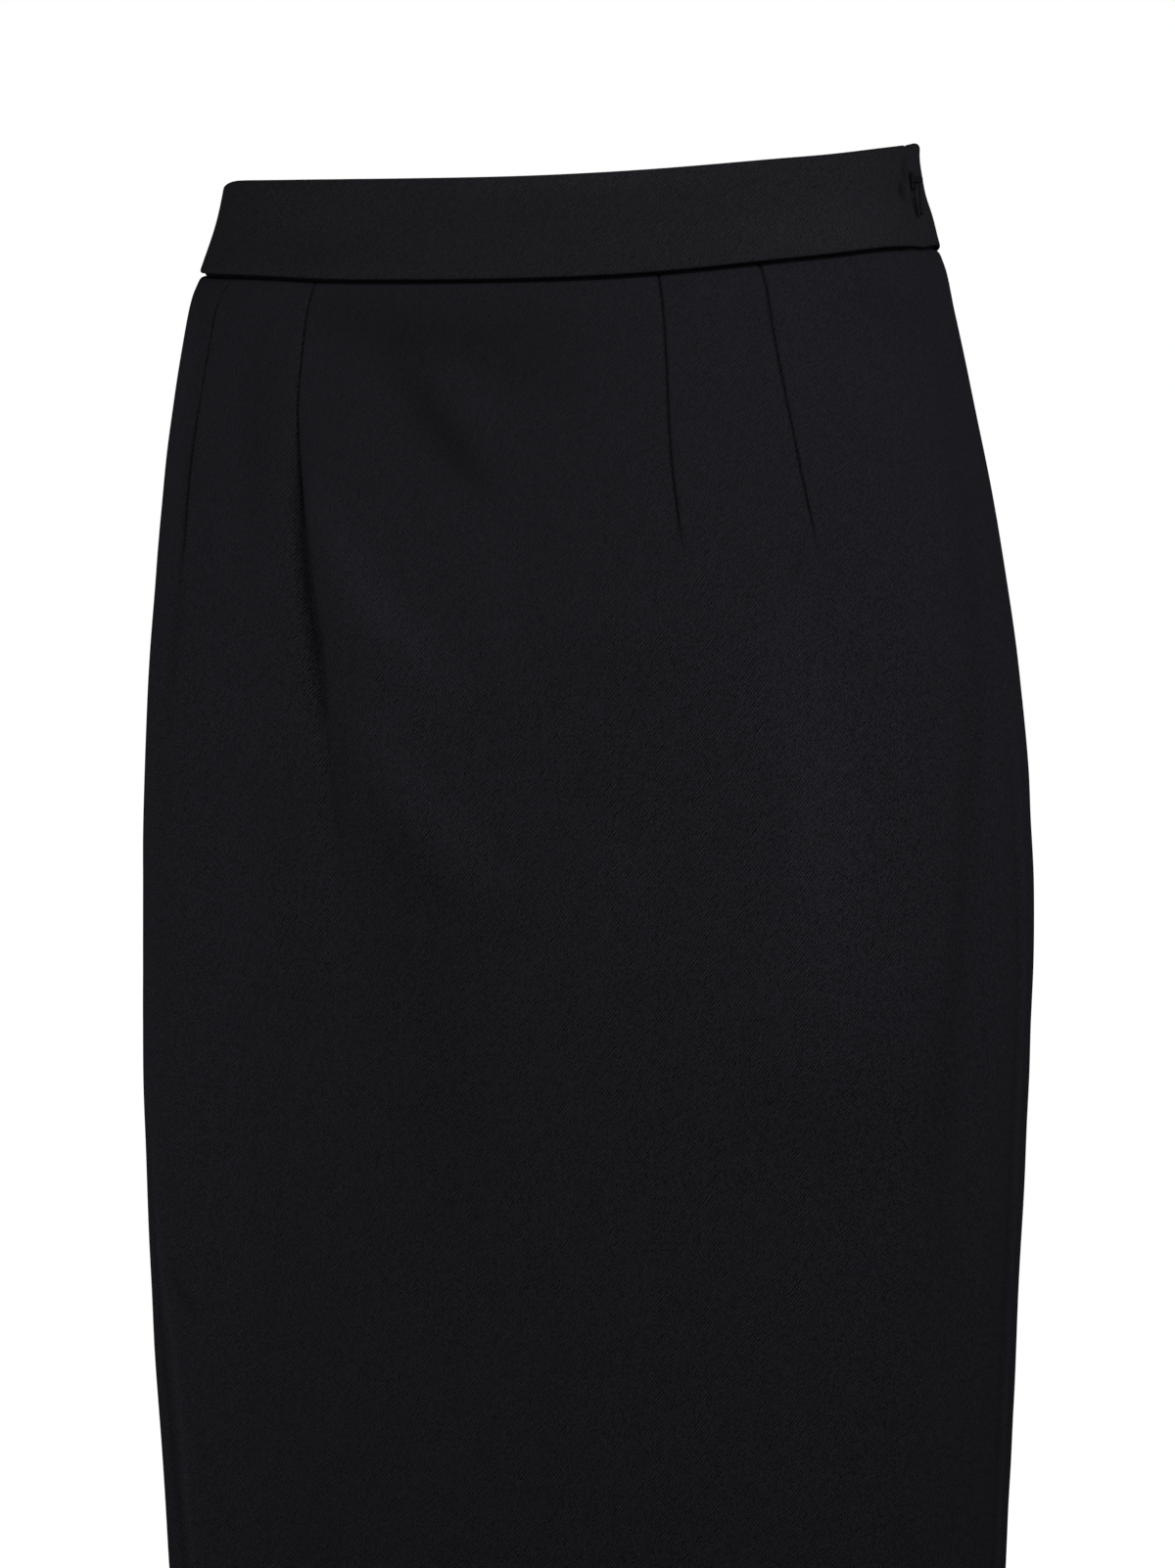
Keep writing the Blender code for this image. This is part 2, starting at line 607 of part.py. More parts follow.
def zip_slider(finish, collection, cutters):
    """Slider body behind the band's ends, a neck between them, and ears that hold the pin."""
    body, *others = [block(b.name, (b.out, b.along, b.up), (b.middle_out, b.middle_along, 0),
                           cutters) for b in SLIDER_BLOCKS]
    others.append(round_bar("slider_pin", PIN_RADIUS, PIN_LENGTH, (PIN_OUT, 0, 0), cutters))
    steps = [("UNION", other) for other in others]
    return combined(body, steps, seam_frame(SLIDER_DROP), "zip_slider", finish, collection)


def zip_pull(finish, collection, cutters):
    """A drop-shaped pull hanging from its ring, which turns on the slider's pin."""
    bm = bmesh.new()
    neck, foot = RING_WIDTH / 2, PULL_WIDTH / 2
    outline = [(-neck, -PULL_TOP)]
    outline += [(-foot * math.cos(math.pi * k / PULL_TURNS),
                 -PULL_LENGTH + foot - foot * math.sin(math.pi * k / PULL_TURNS))
                for k in range(PULL_TURNS + 1)]
    outline += [(neck, -PULL_TOP)]
    edge = [bm.verts.new((-PULL_PLATE / 2, y, z)) for y, z in outline]
    face = bm.faces.new(edge)
    grown = bmesh.ops.extrude_face_region(bm, geom=[face])
    moved = [item for item in grown["geom"] if isinstance(item, bmesh.types.BMVert)]
    bmesh.ops.translate(bm, vec=(PULL_PLATE, 0, 0), verts=moved)
    bmesh.ops.recalc_face_normals(bm, faces=bm.faces)
    mesh = bpy.data.meshes.new("pull_plate")
    bm.to_mesh(mesh)
    bm.free()
    plate = bpy.data.objects.new("pull_plate", mesh)
    cutters.objects.link(plate)
    ring = round_bar("pull_ring", RING_RADIUS, RING_WIDTH, (0, 0, 0), cutters)
    hole = round_bar("pull_hole", RING_HOLE, RING_WIDTH + 2, (0, 0, 0), cutters)
    frame = seam_frame(SLIDER_DROP) @ Matrix.Translation((PIN_OUT, 0, 0))
    steps = [("UNION", plate), ("DIFFERENCE", hole)]
    return combined(ring, steps, frame, "zip_pull", finish, collection)


# The hook and eye that close the gape above the zip.

def wire(name, points, finish, collection):
    """Round wire through points given at the closure, in millimetres, with closed ends."""
    data = bpy.data.curves.new(name, "CURVE")
    data.dimensions = "3D"
    data.bevel_depth = WIRE
    data.bevel_resolution = 1
    data.use_fill_caps = True
    spline = data.splines.new("POLY")
    spline.points.add(len(points) - 1)
    for target, point in zip(spline.points, points):
        target.co = (*point, 1.0)
    source = bpy.data.objects.new(name, data)
    collection.objects.link(source)
    graph = bpy.context.evaluated_depsgraph_get()
    mesh = bpy.data.meshes.new_from_object(source.evaluated_get(graph))
    bpy.data.objects.remove(source)
    bm = bmesh.new()
    bm.from_mesh(mesh)
    bmesh.ops.remove_doubles(bm, verts=bm.verts, dist=0.001)
    bmesh.ops.recalc_face_normals(bm, faces=bm.faces)
    bm.to_mesh(mesh)
    bm.free()
    mesh.transform(Matrix.Scale(METRES, 4) @ seam_frame(HOOK_DROP))
    mesh.name = name
    return add_object(name, mesh, finish, collection)


HOOK_BASE = -2.7          # the hook's shank lies this far inside the form
HOOK_ENDS = (-11.0, -4.0)     # the shank's stretch along the band, from the seam
HOOK_TURN = 1.2           # radius of its bend round the eye
HOOK_TONGUE = 1.6         # its end comes back by this
BEND_STEPS = 6
EYE_BACK = 3.4            # the eye's bar stands this far behind the seam
EYE_ENDS = (8.5, 12.0)    # and its feet lie over this stretch
EYE_HALF = 2.3            # half its height
EYE_CORNER = 0.9


def hook_and_eye(finish, collection):
    """A wire hook sewn inside the front end, holding a wire eye on the back end."""
    centre = HOOK_BASE - HOOK_TURN
    bend = [(centre + HOOK_TURN * math.cos(a), EYE_BACK + HOOK_TURN * math.sin(a), 0)
            for a in (math.pi * k / BEND_STEPS for k in range(BEND_STEPS + 1))]
    shank = [(HOOK_BASE, y, 0) for y in HOOK_ENDS]
    tongue = [(centre - HOOK_TURN, EYE_BACK - HOOK_TONGUE, 0)]
    wire("hook", shank + bend + tongue, finish, collection)
    near, far = EYE_ENDS
    upper = [(HOOK_BASE, far, EYE_HALF), (HOOK_BASE, near, EYE_HALF),
             (centre, EYE_BACK + EYE_CORNER, EYE_HALF),
             (centre, EYE_BACK, EYE_HALF - EYE_CORNER)]
    lower = [(x, y, -z) for x, y, z in reversed(upper)]
    wire("eye", upper + lower, finish, collection)


def build():
    for old in list(bpy.data.objects):
        bpy.data.objects.remove(old)
    skirt = bpy.data.collections.new("pencil_skirt")
    cutters = bpy.data.collections.new("cutters")
    for made in (skirt, cutters):
        bpy.context.scene.collection.children.link(made)
    twill = material("black_twill", BLACK_TWILL, 0.85)
    tape = material("black_tape", BLACK_TAPE, 0.8)
    metal = material("black_metal", BLACK_METAL, 0.4, 0.6)
    front_panel(twill, skirt)
    back_left_panel(twill, skirt)
    back_right_panel(twill, skirt)
    waistband(twill, skirt)
    zip_tape(tape, skirt)
    zip_slider(metal, skirt, cutters)
    zip_pull(metal, skirt, cutters)
    hook_and_eye(metal, skirt)


build()
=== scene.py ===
"""A black twill pencil skirt in its worn, hollow form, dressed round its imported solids.

Lengths are in millimetres until a mesh is made.  +Z is up, -Y is the front and +X is the wearer's
left, where the skirt opens.  A place on the cloth is its share of the way from the centre line to
a side seam (-1 at the wearer's right, 0 at the centre, 1 at the wearer's left) and its drop below
the waistband's upper edge.
"""

import math
from collections import namedtuple

import bmesh
import bpy
import numpy as np
from mathutils import Matrix, Vector


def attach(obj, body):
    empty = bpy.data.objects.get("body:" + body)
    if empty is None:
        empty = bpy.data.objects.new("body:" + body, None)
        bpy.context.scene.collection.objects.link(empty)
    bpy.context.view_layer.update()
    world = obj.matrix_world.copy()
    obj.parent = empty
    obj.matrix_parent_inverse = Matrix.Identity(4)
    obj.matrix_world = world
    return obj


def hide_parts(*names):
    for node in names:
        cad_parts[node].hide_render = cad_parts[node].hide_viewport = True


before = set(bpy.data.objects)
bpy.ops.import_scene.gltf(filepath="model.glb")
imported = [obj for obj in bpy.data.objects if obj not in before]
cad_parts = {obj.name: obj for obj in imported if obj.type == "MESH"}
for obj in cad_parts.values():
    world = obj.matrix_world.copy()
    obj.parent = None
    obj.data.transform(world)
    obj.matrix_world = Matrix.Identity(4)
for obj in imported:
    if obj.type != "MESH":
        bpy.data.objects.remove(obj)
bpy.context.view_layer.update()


# --------------------------------------------
# The front is one piece of wool twill between the side seams.  Four darts shape it to the waist,
# its side allowances are pressed open inside, and its lower edge is turned up into a hem.
# --------------------------------------------

MM = 0.001
FRONT, BACK = "front", "back"
LENGTH = 660.0            # upper edge of the waistband to the hem
SIDE_RISE = 17.5          # its upper edge above the origin, at the wearer's left side
BAND_HEIGHT = 37.0

# Level sections of the worn form.  half_width, front and back are measured from its vertical axis,
# the squares are the exponents of each half's rounded section, seam_back is how far the side seams
# lie behind the axis, and sway moves the section towards the wearer's left.
Section = namedtuple(
    "Section", "drop half_width front back front_square back_square seam_back sway")
SECTIONS = (
    Section(0, 128.9, 92, 92, 2.9, 2.85, 0, 0.3),
    Section(19, 132.1, 94, 95, 2.9, 2.6, 0, -0.9),
    Section(37, 137.2, 98, 101, 2.9, 2.9, 0, -1.6),
    Section(46, 140.9, 100, 104.5, 2.9, 2.85, 0.4, -1.9),
    Section(60, 144.2, 102, 110, 2.85, 2.75, 1, -2.2),
    Section(100, 151.8, 107, 122, 2.8, 2.75, 3, -2.0),
    Section(150, 159.6, 111, 133, 2.75, 2.65, 5, -0.3),
    Section(200, 166.2, 112, 138, 2.7, 2.65, 7, 0.5),
    Section(250, 169.9, 112, 138, 2.7, 2.7, 8, 1.5),
    Section(300, 171.4, 112, 135, 2.7, 2.7, 9, 1.8),
    Section(370, 170.8, 111, 130, 2.7, 2.7, 9, 0.9),
    Section(450, 167.7, 110, 124, 2.75, 2.75, 9, 1.2),
    Section(550, 162.8, 108, 119, 2.8, 2.8, 9, 2.6),
    Section(LENGTH, 156.5, 106, 116, 2.8, 2.8, 9, 3.4),
)

# Height of the waistband's upper edge above the origin, by share.
WAISTLINE = {
    FRONT: ((-1, 14.0), (-0.7, 7.3), (-0.42, 3.9), (0, 2.1), (0.31, 3.3), (0.61, 8.1),
            (0.84, 13.8), (1, SIDE_RISE)),
    BACK: ((-1, 14.0), (-0.6, 10.5), (0, 11.0), (0.5, 16.5), (0.84, 20.5), (1, SIDE_RISE)),
}

# How far the waist seam lies below its even course, by share.  The cloth near it goes with it: the
# pull sets in from one drop, over a height, and eases off again from another, over its height.
WAIST_SEAM = {
    FRONT: ((-1, -0.9), (-0.7, -1.5), (-0.47, -1.1), (-0.3, 0.2), (0, 0.45), (0.3, 0.3),
            (0.55, -1.0), (0.75, -1.6), (0.88, -0.8), (1, 0.7)),
    BACK: ((-1, -0.9), (-0.6, 0.0), (0, 0.0), (0.5, 0.3), (0.8, 1.1), (1, 0.7)),
}
PULL_SETS_IN, PULL_RISE = 4.0, 30.0
PULL_EASES, PULL_FALL = 45.0, 100.0
OUTLINE_STEPS = 1440      # along half of a level section, from side seam to side seam
OUTLINE_PAST = 60         # and this many more past each seam


def through(table, x):
    """Smooth values at x through rows of (x, value, ...), with the values along the last axis."""
    table = np.asarray(table, float)
    x = np.asarray(x, float)
    last = len(table) - 1
    i = np.clip(np.searchsorted(table[:, 0], x, side="right") - 1, 0, last - 1)
    before, start, end, after = (table[np.clip(i + k, 0, last)] for k in (-1, 0, 1, 2))
    span = (end - start)[..., :1]
    t = (x[..., None] - start[..., :1]) / span
    slope_in = (end - before) / (end - before)[..., :1] * span
    slope_out = (after - start) / (after - start)[..., :1] * span
    value = ((2 * t**3 - 3 * t**2 + 1) * start + (t**3 - 2 * t**2 + t) * slope_in
             + (3 * t**2 - 2 * t**3) * end + (t**3 - t**2) * slope_out)
    return value[..., 1:]


def soft_step(x):
    """0 below 0, 1 above 1, and a soft rise between."""
    x = np.clip(x, 0.0, 1.0)
    return x * x * (3 - 2 * x)


def half_outline(half, drop):
    """Half of a level section, run on a little past both side seams, with its shares."""
    width, front, back, front_square, back_square, seam_back, sway = through(SECTIONS, drop)
    angle = np.pi * (1 - np.arange(OUTLINE_STEPS + 1) / OUTLINE_STEPS)
    c, s = np.cos(angle), np.sin(angle)

    def side(depth, square):
        return np.stack([np.copysign(np.abs(c) ** (2 / square), c) * width + sway,
                         depth * np.abs(s) ** (2 / square) + seam_back], -1)

    near, far = side(-front - seam_back, front_square), side(back - seam_back, back_square)
    if half == BACK:
        near, far = far, near
    points = np.concatenate([far[OUTLINE_PAST:0:-1], near, far[-2:-OUTLINE_PAST - 2:-1]])
    legs = np.linalg.norm(np.diff(points, axis=0), axis=1)
    lengths = np.concatenate([[0], np.cumsum(legs)]) - legs[:OUTLINE_PAST].sum()
    whole = lengths[OUTLINE_PAST + OUTLINE_STEPS]
    return points, 2 * lengths / whole - 1, whole / 2


def reach(half, drops):
    """Length of cloth from the centre line to a side seam, at each drop."""
    known = {d: half_outline(half, d)[2] for d in np.unique(drops)}
    return np.vectorize(known.get)(drops).astype(float)


def form(half, shares, drops):
    """Points of the plain form, for a row of shares at each drop."""
    rows = []
    for row, drop in zip(shares, drops):
        points, places, _ = half_outline(half, drop)
        rim = through(WAISTLINE[half], np.clip(row, -1, 1))[..., 0]
        dip = through(WAIST_SEAM[half], np.clip(row, -1, 1))[..., 0]
        dip *= (soft_step((drop - PULL_SETS_IN) / PULL_RISE)
                - soft_step((drop - PULL_EASES) / PULL_FALL))
        z = rim + (SIDE_RISE - LENGTH - rim) * drop / LENGTH - dip
        rows.append(np.stack([np.interp(row, places, points[:, 0]),
                              np.interp(row, places, points[:, 1]), z], -1))
    return np.array(rows)


NEAR = 2.0                # slopes are taken over this distance to each side


def outward(half, shares, drops):
    """Unit vectors out of the form at the same places."""
    side = NEAR / reach(half, drops)[:, None]
    across = form(half, shares + side, drops) - form(half, shares - side, drops)
    down = form(half, shares, drops + NEAR) - form(half, shares, np.maximum(drops - NEAR, 0))
    normal = np.cross(down, across) * (1 if half == FRONT else -1)
    return normal / np.linalg.norm(normal, axis=-1, keepdims=True)


# A fold is a soft ridge, or a trough where its height is below zero, of that half-width.  Its path
# is rows of (share, drop).
Fold = namedtuple("Fold", "height width path")
FOLD_STEPS = 12           # a fold is laid in at least this many steps for each row of its path
FOLD_STEP_WIDTHS = 1.1    # and on a long one a step is about this many half-widths
FOLD_SWELL = 0.7          # it swells up from its ends as a sine to this power
FRONT_FOLDS = (
    # The deep crease that carries on the inner dart at the wearer's right, and its soft shoulders.
    Fold(-4.2, 3.2, ((-0.32, 84), (-0.303, 122), (-0.282, 154), (-0.264, 177), (-0.251, 205))),
    Fold(-1.7, 3.4, ((-0.27, 165), (-0.258, 190), (-0.236, 221), (-0.219, 280))),
    Fold(-1.8, 7, ((-0.318, 80), (-0.303, 122), (-0.277, 154), (-0.258, 177), (-0.23, 221),
                   (-0.21, 270))),
    # Two rolls that slant from the crease towards the wearer's left thigh.
    Fold(2.0, 11, ((-0.255, 75), (-0.235, 125), (-0.19, 165), (-0.11, 198), (-0.03, 214))),
    Fold(2.8, 18, ((-0.20, 60), (-0.175, 120), (-0.125, 165), (-0.03, 192))),
    Fold(3.2, 12, ((-0.20, 185), (-0.14, 225), (-0.06, 249), (0.08, 270))),
    Fold(2.8, 18, ((-0.13, 195), (-0.07, 224), (0.04, 245))),
    # A drag line under the waistband, and its swell above.
    Fold(2.2, 8, ((-0.13, 54), (-0.045, 76), (0.055, 104))),
    Fold(-3.4, 8, ((-0.175, 68), (-0.075, 93), (0.03, 122))),
    # Small rolls at the middle, and between the darts and the crease at the wearer's right.
    Fold(2.0, 13, ((0.13, 160), (0.23, 167), (0.33, 169))),
    Fold(1.6, 14, ((-0.64, 198), (-0.42, 208), (-0.30, 214), (-0.23, 218))),
    Fold(-1.6, 11, ((-0.44, 50), (-0.425, 100), (-0.40, 150), (-0.38, 200))),
    # The roll of the cloth round the wearer's left thigh, and the hollows beside it.
    Fold(-3.2, 26, ((0.62, 90), (0.58, 180), (0.51, 245))),
    Fold(3.0, 27, ((0.36, 305), (0.50, 322), (0.61, 322), (0.69, 300))),
    Fold(2.4, 14, ((0.68, 170), (0.68, 260), (0.66, 340), (0.65, 460), (0.655, 580))),
    Fold(-2.6, 13, ((0.80, 130), (0.805, 260), (0.79, 390), (0.785, 580))),
    # A pressed crease low down at the wearer's right.
    Fold(-1.3, 6, ((-0.65, 420), (-0.618, 475), (-0.60, 510), (-0.59, 600), (-0.59, 650))),
    Fold(0.9, 7, ((-0.61, 430), (-0.58, 490), (-0.56, 540), (-0.555, 640))),
)

# Each dart runs from the waistband to its tip; its later rows only lead the mesh on to the hem.
Dart = namedtuple("Dart", "tip path")
FRONT_DARTS = (
    Dart(147, ((37, -0.538), (50, -0.556), (80, -0.560), (147, -0.565), (300, -0.56),
               (LENGTH, -0.57))),
    Dart(137, ((37, -0.328), (70, -0.323), (98, -0.315), (125, -0.300), (154, -0.280),
               (177, -0.264), (221, -0.236), (254, -0.222), (400, -0.25), (LENGTH, -0.29))),
    Dart(144, ((37, 0.331), (60, 0.336), (102, 0.334), (144, 0.340), (300, 0.33),
               (LENGTH, 0.31))),
    Dart(147, ((37, 0.511), (69, 0.521), (106, 0.537), (147, 0.553), (300, 0.56),
               (LENGTH, 0.57))),
)
DART_GROOVE, DART_GROOVE_WIDTH = 1.4, 0.50      # the sewn line itself
DART_GROOVE_FADE = 24                           # it runs out over this height above the tip
DART_DIP, DART_DIP_WIDTH = 0.22, 2.4            # the cloth drawn in beside it
DART_DIP_PAST, DART_DIP_FADE = 14, 30           # this far past the tip, running out over that
DART_BULK, DART_BULK_SIDE = 0.15, 2.4           # the dart's folded cloth, pressed to the centre
DART_BULK_FADE = 90


def fold_relief(folds, across, drops, arc):
    """How far the folds lift the cloth at places across (in mm from the centre line) and down."""
    lift = np.zeros_like(across)
    for fold in folds:
        path_legs = np.diff(np.array(fold.path) * (np.mean(arc), 1), axis=0)
        length = np.hypot(*path_legs.T).sum()
        count = max(FOLD_STEPS * len(fold.path), round(length / (FOLD_STEP_WIDTHS * fold.width)))
        path = through([(k, *row) for k, row in enumerate(fold.path)],
                       np.linspace(0, len(fold.path) - 1, count))
        legs = np.hypot(np.diff(path[:, 0]) * np.mean(arc), np.diff(path[:, 1]))
        swells = np.sin(np.pi * (np.arange(count - 1) + 0.5) / (count - 1)) ** FOLD_SWELL
        for (share, drop), weight in zip((path[:-1] + path[1:]) / 2, legs * swells):
            apart = (across - share * arc) ** 2 + (drops - drop) ** 2
            lift += (fold.height * weight / (fold.width * math.sqrt(math.pi))
                     * np.exp(-apart / fold.width**2))
    return lift


def dart_relief(darts, across, drops, arc):
    """The groove of each dart's sewn line, and the cloth's rise and dip beside it."""
    lift = np.zeros_like(across)
    for dart in darts:
        x = across - through(dart.path, drops)[..., 0] * arc
        towards_centre = -np.sign(dart.path[0][1]) * x
        sewn = soft_step((dart.tip - drops) / DART_GROOVE_FADE)
        dip = soft_step((dart.tip + DART_DIP_PAST - drops) / DART_DIP_FADE)
        lift -= sewn * DART_GROOVE * np.exp(-((x / DART_GROOVE_WIDTH) ** 2))
        lift -= dip * DART_DIP * np.exp(-((x / DART_DIP_WIDTH) ** 2))
        bulk = np.exp(-(((towards_centre - DART_BULK_SIDE) / DART_BULK_SIDE) ** 2))
        lift += sewn * DART_BULK * bulk * soft_step((dart.tip - drops) / DART_BULK_FADE)
    return lift


def cloth_waves(across, drops):
    """The slight unevenness of pressed cloth that has been worn: three sets of low waves, each
    with its height and its lengths across and down, bent so that none repeats."""
    x, y = across, drops
    return (0.16 * np.sin(x / 13.7 + 1.3 * np.sin(y / 41.0 + 0.7))
            * np.sin(y / 29.0 + 1.1 * np.sin(x / 37.0))
            + 0.10 * np.sin(x / 7.9 + y / 17.0 + 2.0 * np.sin(y / 53.0))
            * np.sin(y / 21.0 - x / 33.0 + 0.9)
            + 0.05 * np.sin(x / 4.3 - y / 9.1 + 1.4 * np.sin(x / 19.0 + y / 23.0)))


FOLD_FADE = 14.0          # folds die away towards a seam over this distance
SEAM_CALM = 5.0           # and the waves over this
WAVE_SHIFT = {FRONT: 0, BACK: 400}      # each piece has its own stretch of the waves


def grids(half, shares, drops):
    """The cloth's length from centre to seam, and the drop, at every place."""
    return reach(half, drops)[:, None] * np.ones_like(shares), drops[:, None] * np.ones_like(shares)


def panel_lift(half, folds, darts, shares, drops):
    """How far a panel's outer face stands off the plain form."""
    arc, down = grids(half, shares, drops)
    across = shares * arc
    edge = np.minimum(arc - np.abs(across), down - BAND_HEIGHT)
    if half == BACK:
        edge = np.minimum(edge, np.abs(across))
    return (fold_relief(folds, across, down, arc) * soft_step(edge / FOLD_FADE)
            + cloth_waves(across + WAVE_SHIFT[half], down) * soft_step(edge / SEAM_CALM)
            + dart_relief(darts, across, down, arc))


# Rows of a panel, as drop and lift: from up inside the waistband, out at the seam's ditch, down
# the skirt, round the hem's fold and up its inner layer.
SEAM_DITCH = ((31.0, -0.9), (35.5, -1.1), (36.6, -1.8), (37.1, -2.0), (37.6, -1.7),
              (38.0, -0.9), (38.5, -0.35), (39.3, -0.1), (40.6, 0.0))
HEM_DEPTH = 35.0
HEM_TURN = ((LENGTH - 4, 0.0), (LENGTH - 1.6, -0.03), (LENGTH - 0.7, -0.15), (LENGTH - 0.15, -0.5),
            (LENGTH, -0.95), (LENGTH - 0.15, -1.4), (LENGTH - 0.7, -1.75), (LENGTH - 1.6, -1.9),
            (LENGTH - 6, -1.9), (LENGTH - 14, -1.85), (LENGTH - 24, -1.8),
            (LENGTH - HEM_DEPTH, -1.75))
# A panel's edge, as distance from the seam and lift: its allowance inside, the turn, the face.
SEAM_EDGE = ((12.0, -1.7), (8.0, -1.7), (4.0, -1.7), (1.5, -1.62), (0.5, -1.35), (0.1, -0.9),
             (0.12, -0.5), (0.4, -0.2), (0.9, -0.06), (1.7, 0.0), (3.0, 0.0))
# Columns beside a dart's line.
BESIDE_DART = (-5.0, -3.2, -2.0, -1.2, -0.7, -0.35, 0.0, 0.35, 0.7, 1.2, 2.0, 3.2, 5.0)
ROW_STEPS = ((150, 1.9), (330, 2.4), (LENGTH - 4, 3.4))     # down to each drop, in steps of this
COLUMN_STEP = 2.6         # between columns, about


def panel_rows():
    """Drops and lifts of a panel's rows, from the top down and round the hem."""
    rows = list(SEAM_DITCH)
    for end, step in ROW_STEPS:
        start = rows[-1][0]
        count = math.ceil((end - start) / step)
        rows += [(start + (end - start) * k / count, 0.0) for k in range(1, count + 1)]
    rows += HEM_TURN[1:]
    return np.array(rows).T


def panel_columns(half, drops, darts, right_edge, left_edge):
    """Shares and lifts of a panel's columns, from the wearer's right to the left, at each drop.

    An edge is (share of its seam, rows of (distance into the panel, lift), with the distances
    given for every drop where they change)."""
    arc = reach(half, drops)
    columns, lifts = [], []
    right_share, right_rows = right_edge
    left_share, left_rows = left_edge
    for distance, lift in right_rows:
        columns.append(right_share + distance / arc)
        lifts.append(lift)
    in_order = sorted(darts, key=lambda dart: dart.path[0][1])
    anchors = [through(dart.path, drops)[..., 0] for dart in in_order]
    anchors.append(left_share - left_rows[-1][0] / arc)
    for k, anchor in enumerate(anchors):
        start = columns[-1]
        stop = anchor + (BESIDE_DART[0] / arc if k < len(in_order) else 0)
        count = max(1, round(float(np.mean((stop - start) * arc)) / COLUMN_STEP))
        columns += [start + (stop - start) * n / count for n in range(1, count)]
        lifts += [0.0] * (count - 1)
        if k < len(in_order):
            columns += [anchor + offset / arc for offset in BESIDE_DART]
            lifts += [0.0] * len(BESIDE_DART)
    for distance, lift in reversed(left_rows):
        columns.append(left_share - distance / arc)
        lifts.append(lift)
    return np.stack([c * np.ones_like(drops) for c in columns], -1), np.array(lifts)


def add_object(name, data):
    """A new object in the scene."""
    added = bpy.data.objects.new(name, data)
    bpy.context.scene.collection.objects.link(added)
    return added


def finished_mesh(name, bm, material=None):
    """A mesh from what was built, which is then let go."""
    mesh = bpy.data.meshes.new(name)
    bm.to_mesh(mesh)
    bm.free()
    if material:
        mesh.materials.append(material)
    return mesh


def cloth_piece(name, points, flat, thickness, material, nap=None):
    """A sheet of cloth as a grid; rows run down it and columns from left to right, seen from
    outside.  Its attribute 'cloth' holds each place on the flat cloth, in metres, and another
    holds painted light and shade: how much lighter or darker its colour is made there."""
    rows, columns = points.shape[:2]
    bm = bmesh.new()
    bmesh.ops.create_grid(bm, x_segments=columns - 1, y_segments=rows - 1, size=0.5)
    placed = points[::-1].reshape(-1, 3) * MM
    for vertex, place in zip(bm.verts, placed):
        vertex.co = place
    for face in bm.faces:
        face.smooth = True
    mesh = finished_mesh(name, bm, material)
    layer = mesh.attributes.new("cloth", "FLOAT_VECTOR", "POINT")
    depth = np.zeros((rows * columns, 1))
    layer.data.foreach_set("vector", np.hstack([flat[::-1].reshape(-1, 2) * MM, depth]).ravel())
    if nap is not None:
        mesh.attributes.new("nap", "FLOAT", "POINT").data.foreach_set("value", nap[::-1].ravel())
    piece = add_object(name, mesh)
    if thickness:
        wall = piece.modifiers.new("Thickness", "SOLIDIFY")
        wall.thickness = thickness * MM
        wall.offset = -1
    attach(piece, "skirt")
    return piece


# Painted highlights and painted shade along the front's folds, given as folds with a tone.
FRONT_PAINTED_SHADING = (
    Fold(-0.17, 11, ((-0.33, 44), (-0.17, 54), (-0.041, 58), (0.222, 55))),
    Fold(-0.11, 9, ((-0.16, 66), (-0.075, 93), (0.04, 112))),
    Fold(-0.09, 9, ((0.00, 62), (0.10, 72), (0.22, 76))),
    Fold(-0.10, 9, ((-0.435, 55), (-0.396, 97), (-0.377, 135))),
    Fold(-0.12, 5, ((-0.309, 115), (-0.281, 150), (-0.262, 185))),
    Fold(0.23, 8, ((-0.28, 108), (-0.18, 145), (-0.104, 166), (0.01, 188))),
    Fold(0.13, 7, ((-0.21, 172), (-0.128, 206), (-0.043, 230), (0.06, 260))),
    Fold(0.08, 8, ((0.02, 115), (0.057, 148), (0.085, 180))),
    Fold(0.16, 17, ((0.46, 145), (0.519, 213), (0.532, 255), (0.525, 305))),
    Fold(0.07, 10, ((0.17, 232), (0.247, 257), (0.32, 280))),
    Fold(-0.14, 10, ((0.94, 105), (0.852, 194), (0.77, 262), (0.72, 330), (0.72, 420))),
    Fold(-0.08, 20, ((-0.20, 220), (-0.069, 300), (-0.022, 400))),
    Fold(-0.08, 9, ((0.60, 48), (0.738, 56), (0.92, 64))),
    Fold(-0.05, 9, ((-0.60, 170), (-0.601, 247), (-0.59, 340))),
    # Painted highlight beside the outer dart at the wearer's right, painted shade along its lower
    # half.
    Fold(0.13, 7, ((-0.67, 44), (-0.64, 75), (-0.635, 125))),
    Fold(-0.35, 1.6, ((-0.561, 88), (-0.563, 115), (-0.566, 155))),
    Fold(-0.12, 4.5, ((-0.566, 140), (-0.57, 180), (-0.575, 210))),
    # Crease low down: painted highlight on its ridge, painted shade in its trough; painted shade at
    # the side seam.
    Fold(0.24, 3, ((-0.668, 350), (-0.644, 389), (-0.624, 423), (-0.59, 446), (-0.578, 473),
                   (-0.568, 501), (-0.556, 545), (-0.552, 640))),
    Fold(-0.24, 3, ((-0.69, 360), (-0.653, 429), (-0.639, 467), (-0.623, 495), (-0.605, 540),
                    (-0.598, 640))),
    Fold(-0.16, 4, ((-0.59, 412), (-0.55, 426), (-0.51, 432))),
    Fold(-0.16, 3, ((0.978, 200), (0.978, 330), (0.978, 500), (0.978, 650))),
)


PAINTED_SEAM_SHADE = 0.7           # how much tone the wool loses under painted shade in the seam and at the band's edge
DITCH_SHADE_EDGE, DITCH_SHADE_SOFT = 38.2, 0.6      # the painted shade under the band ends here, over this height
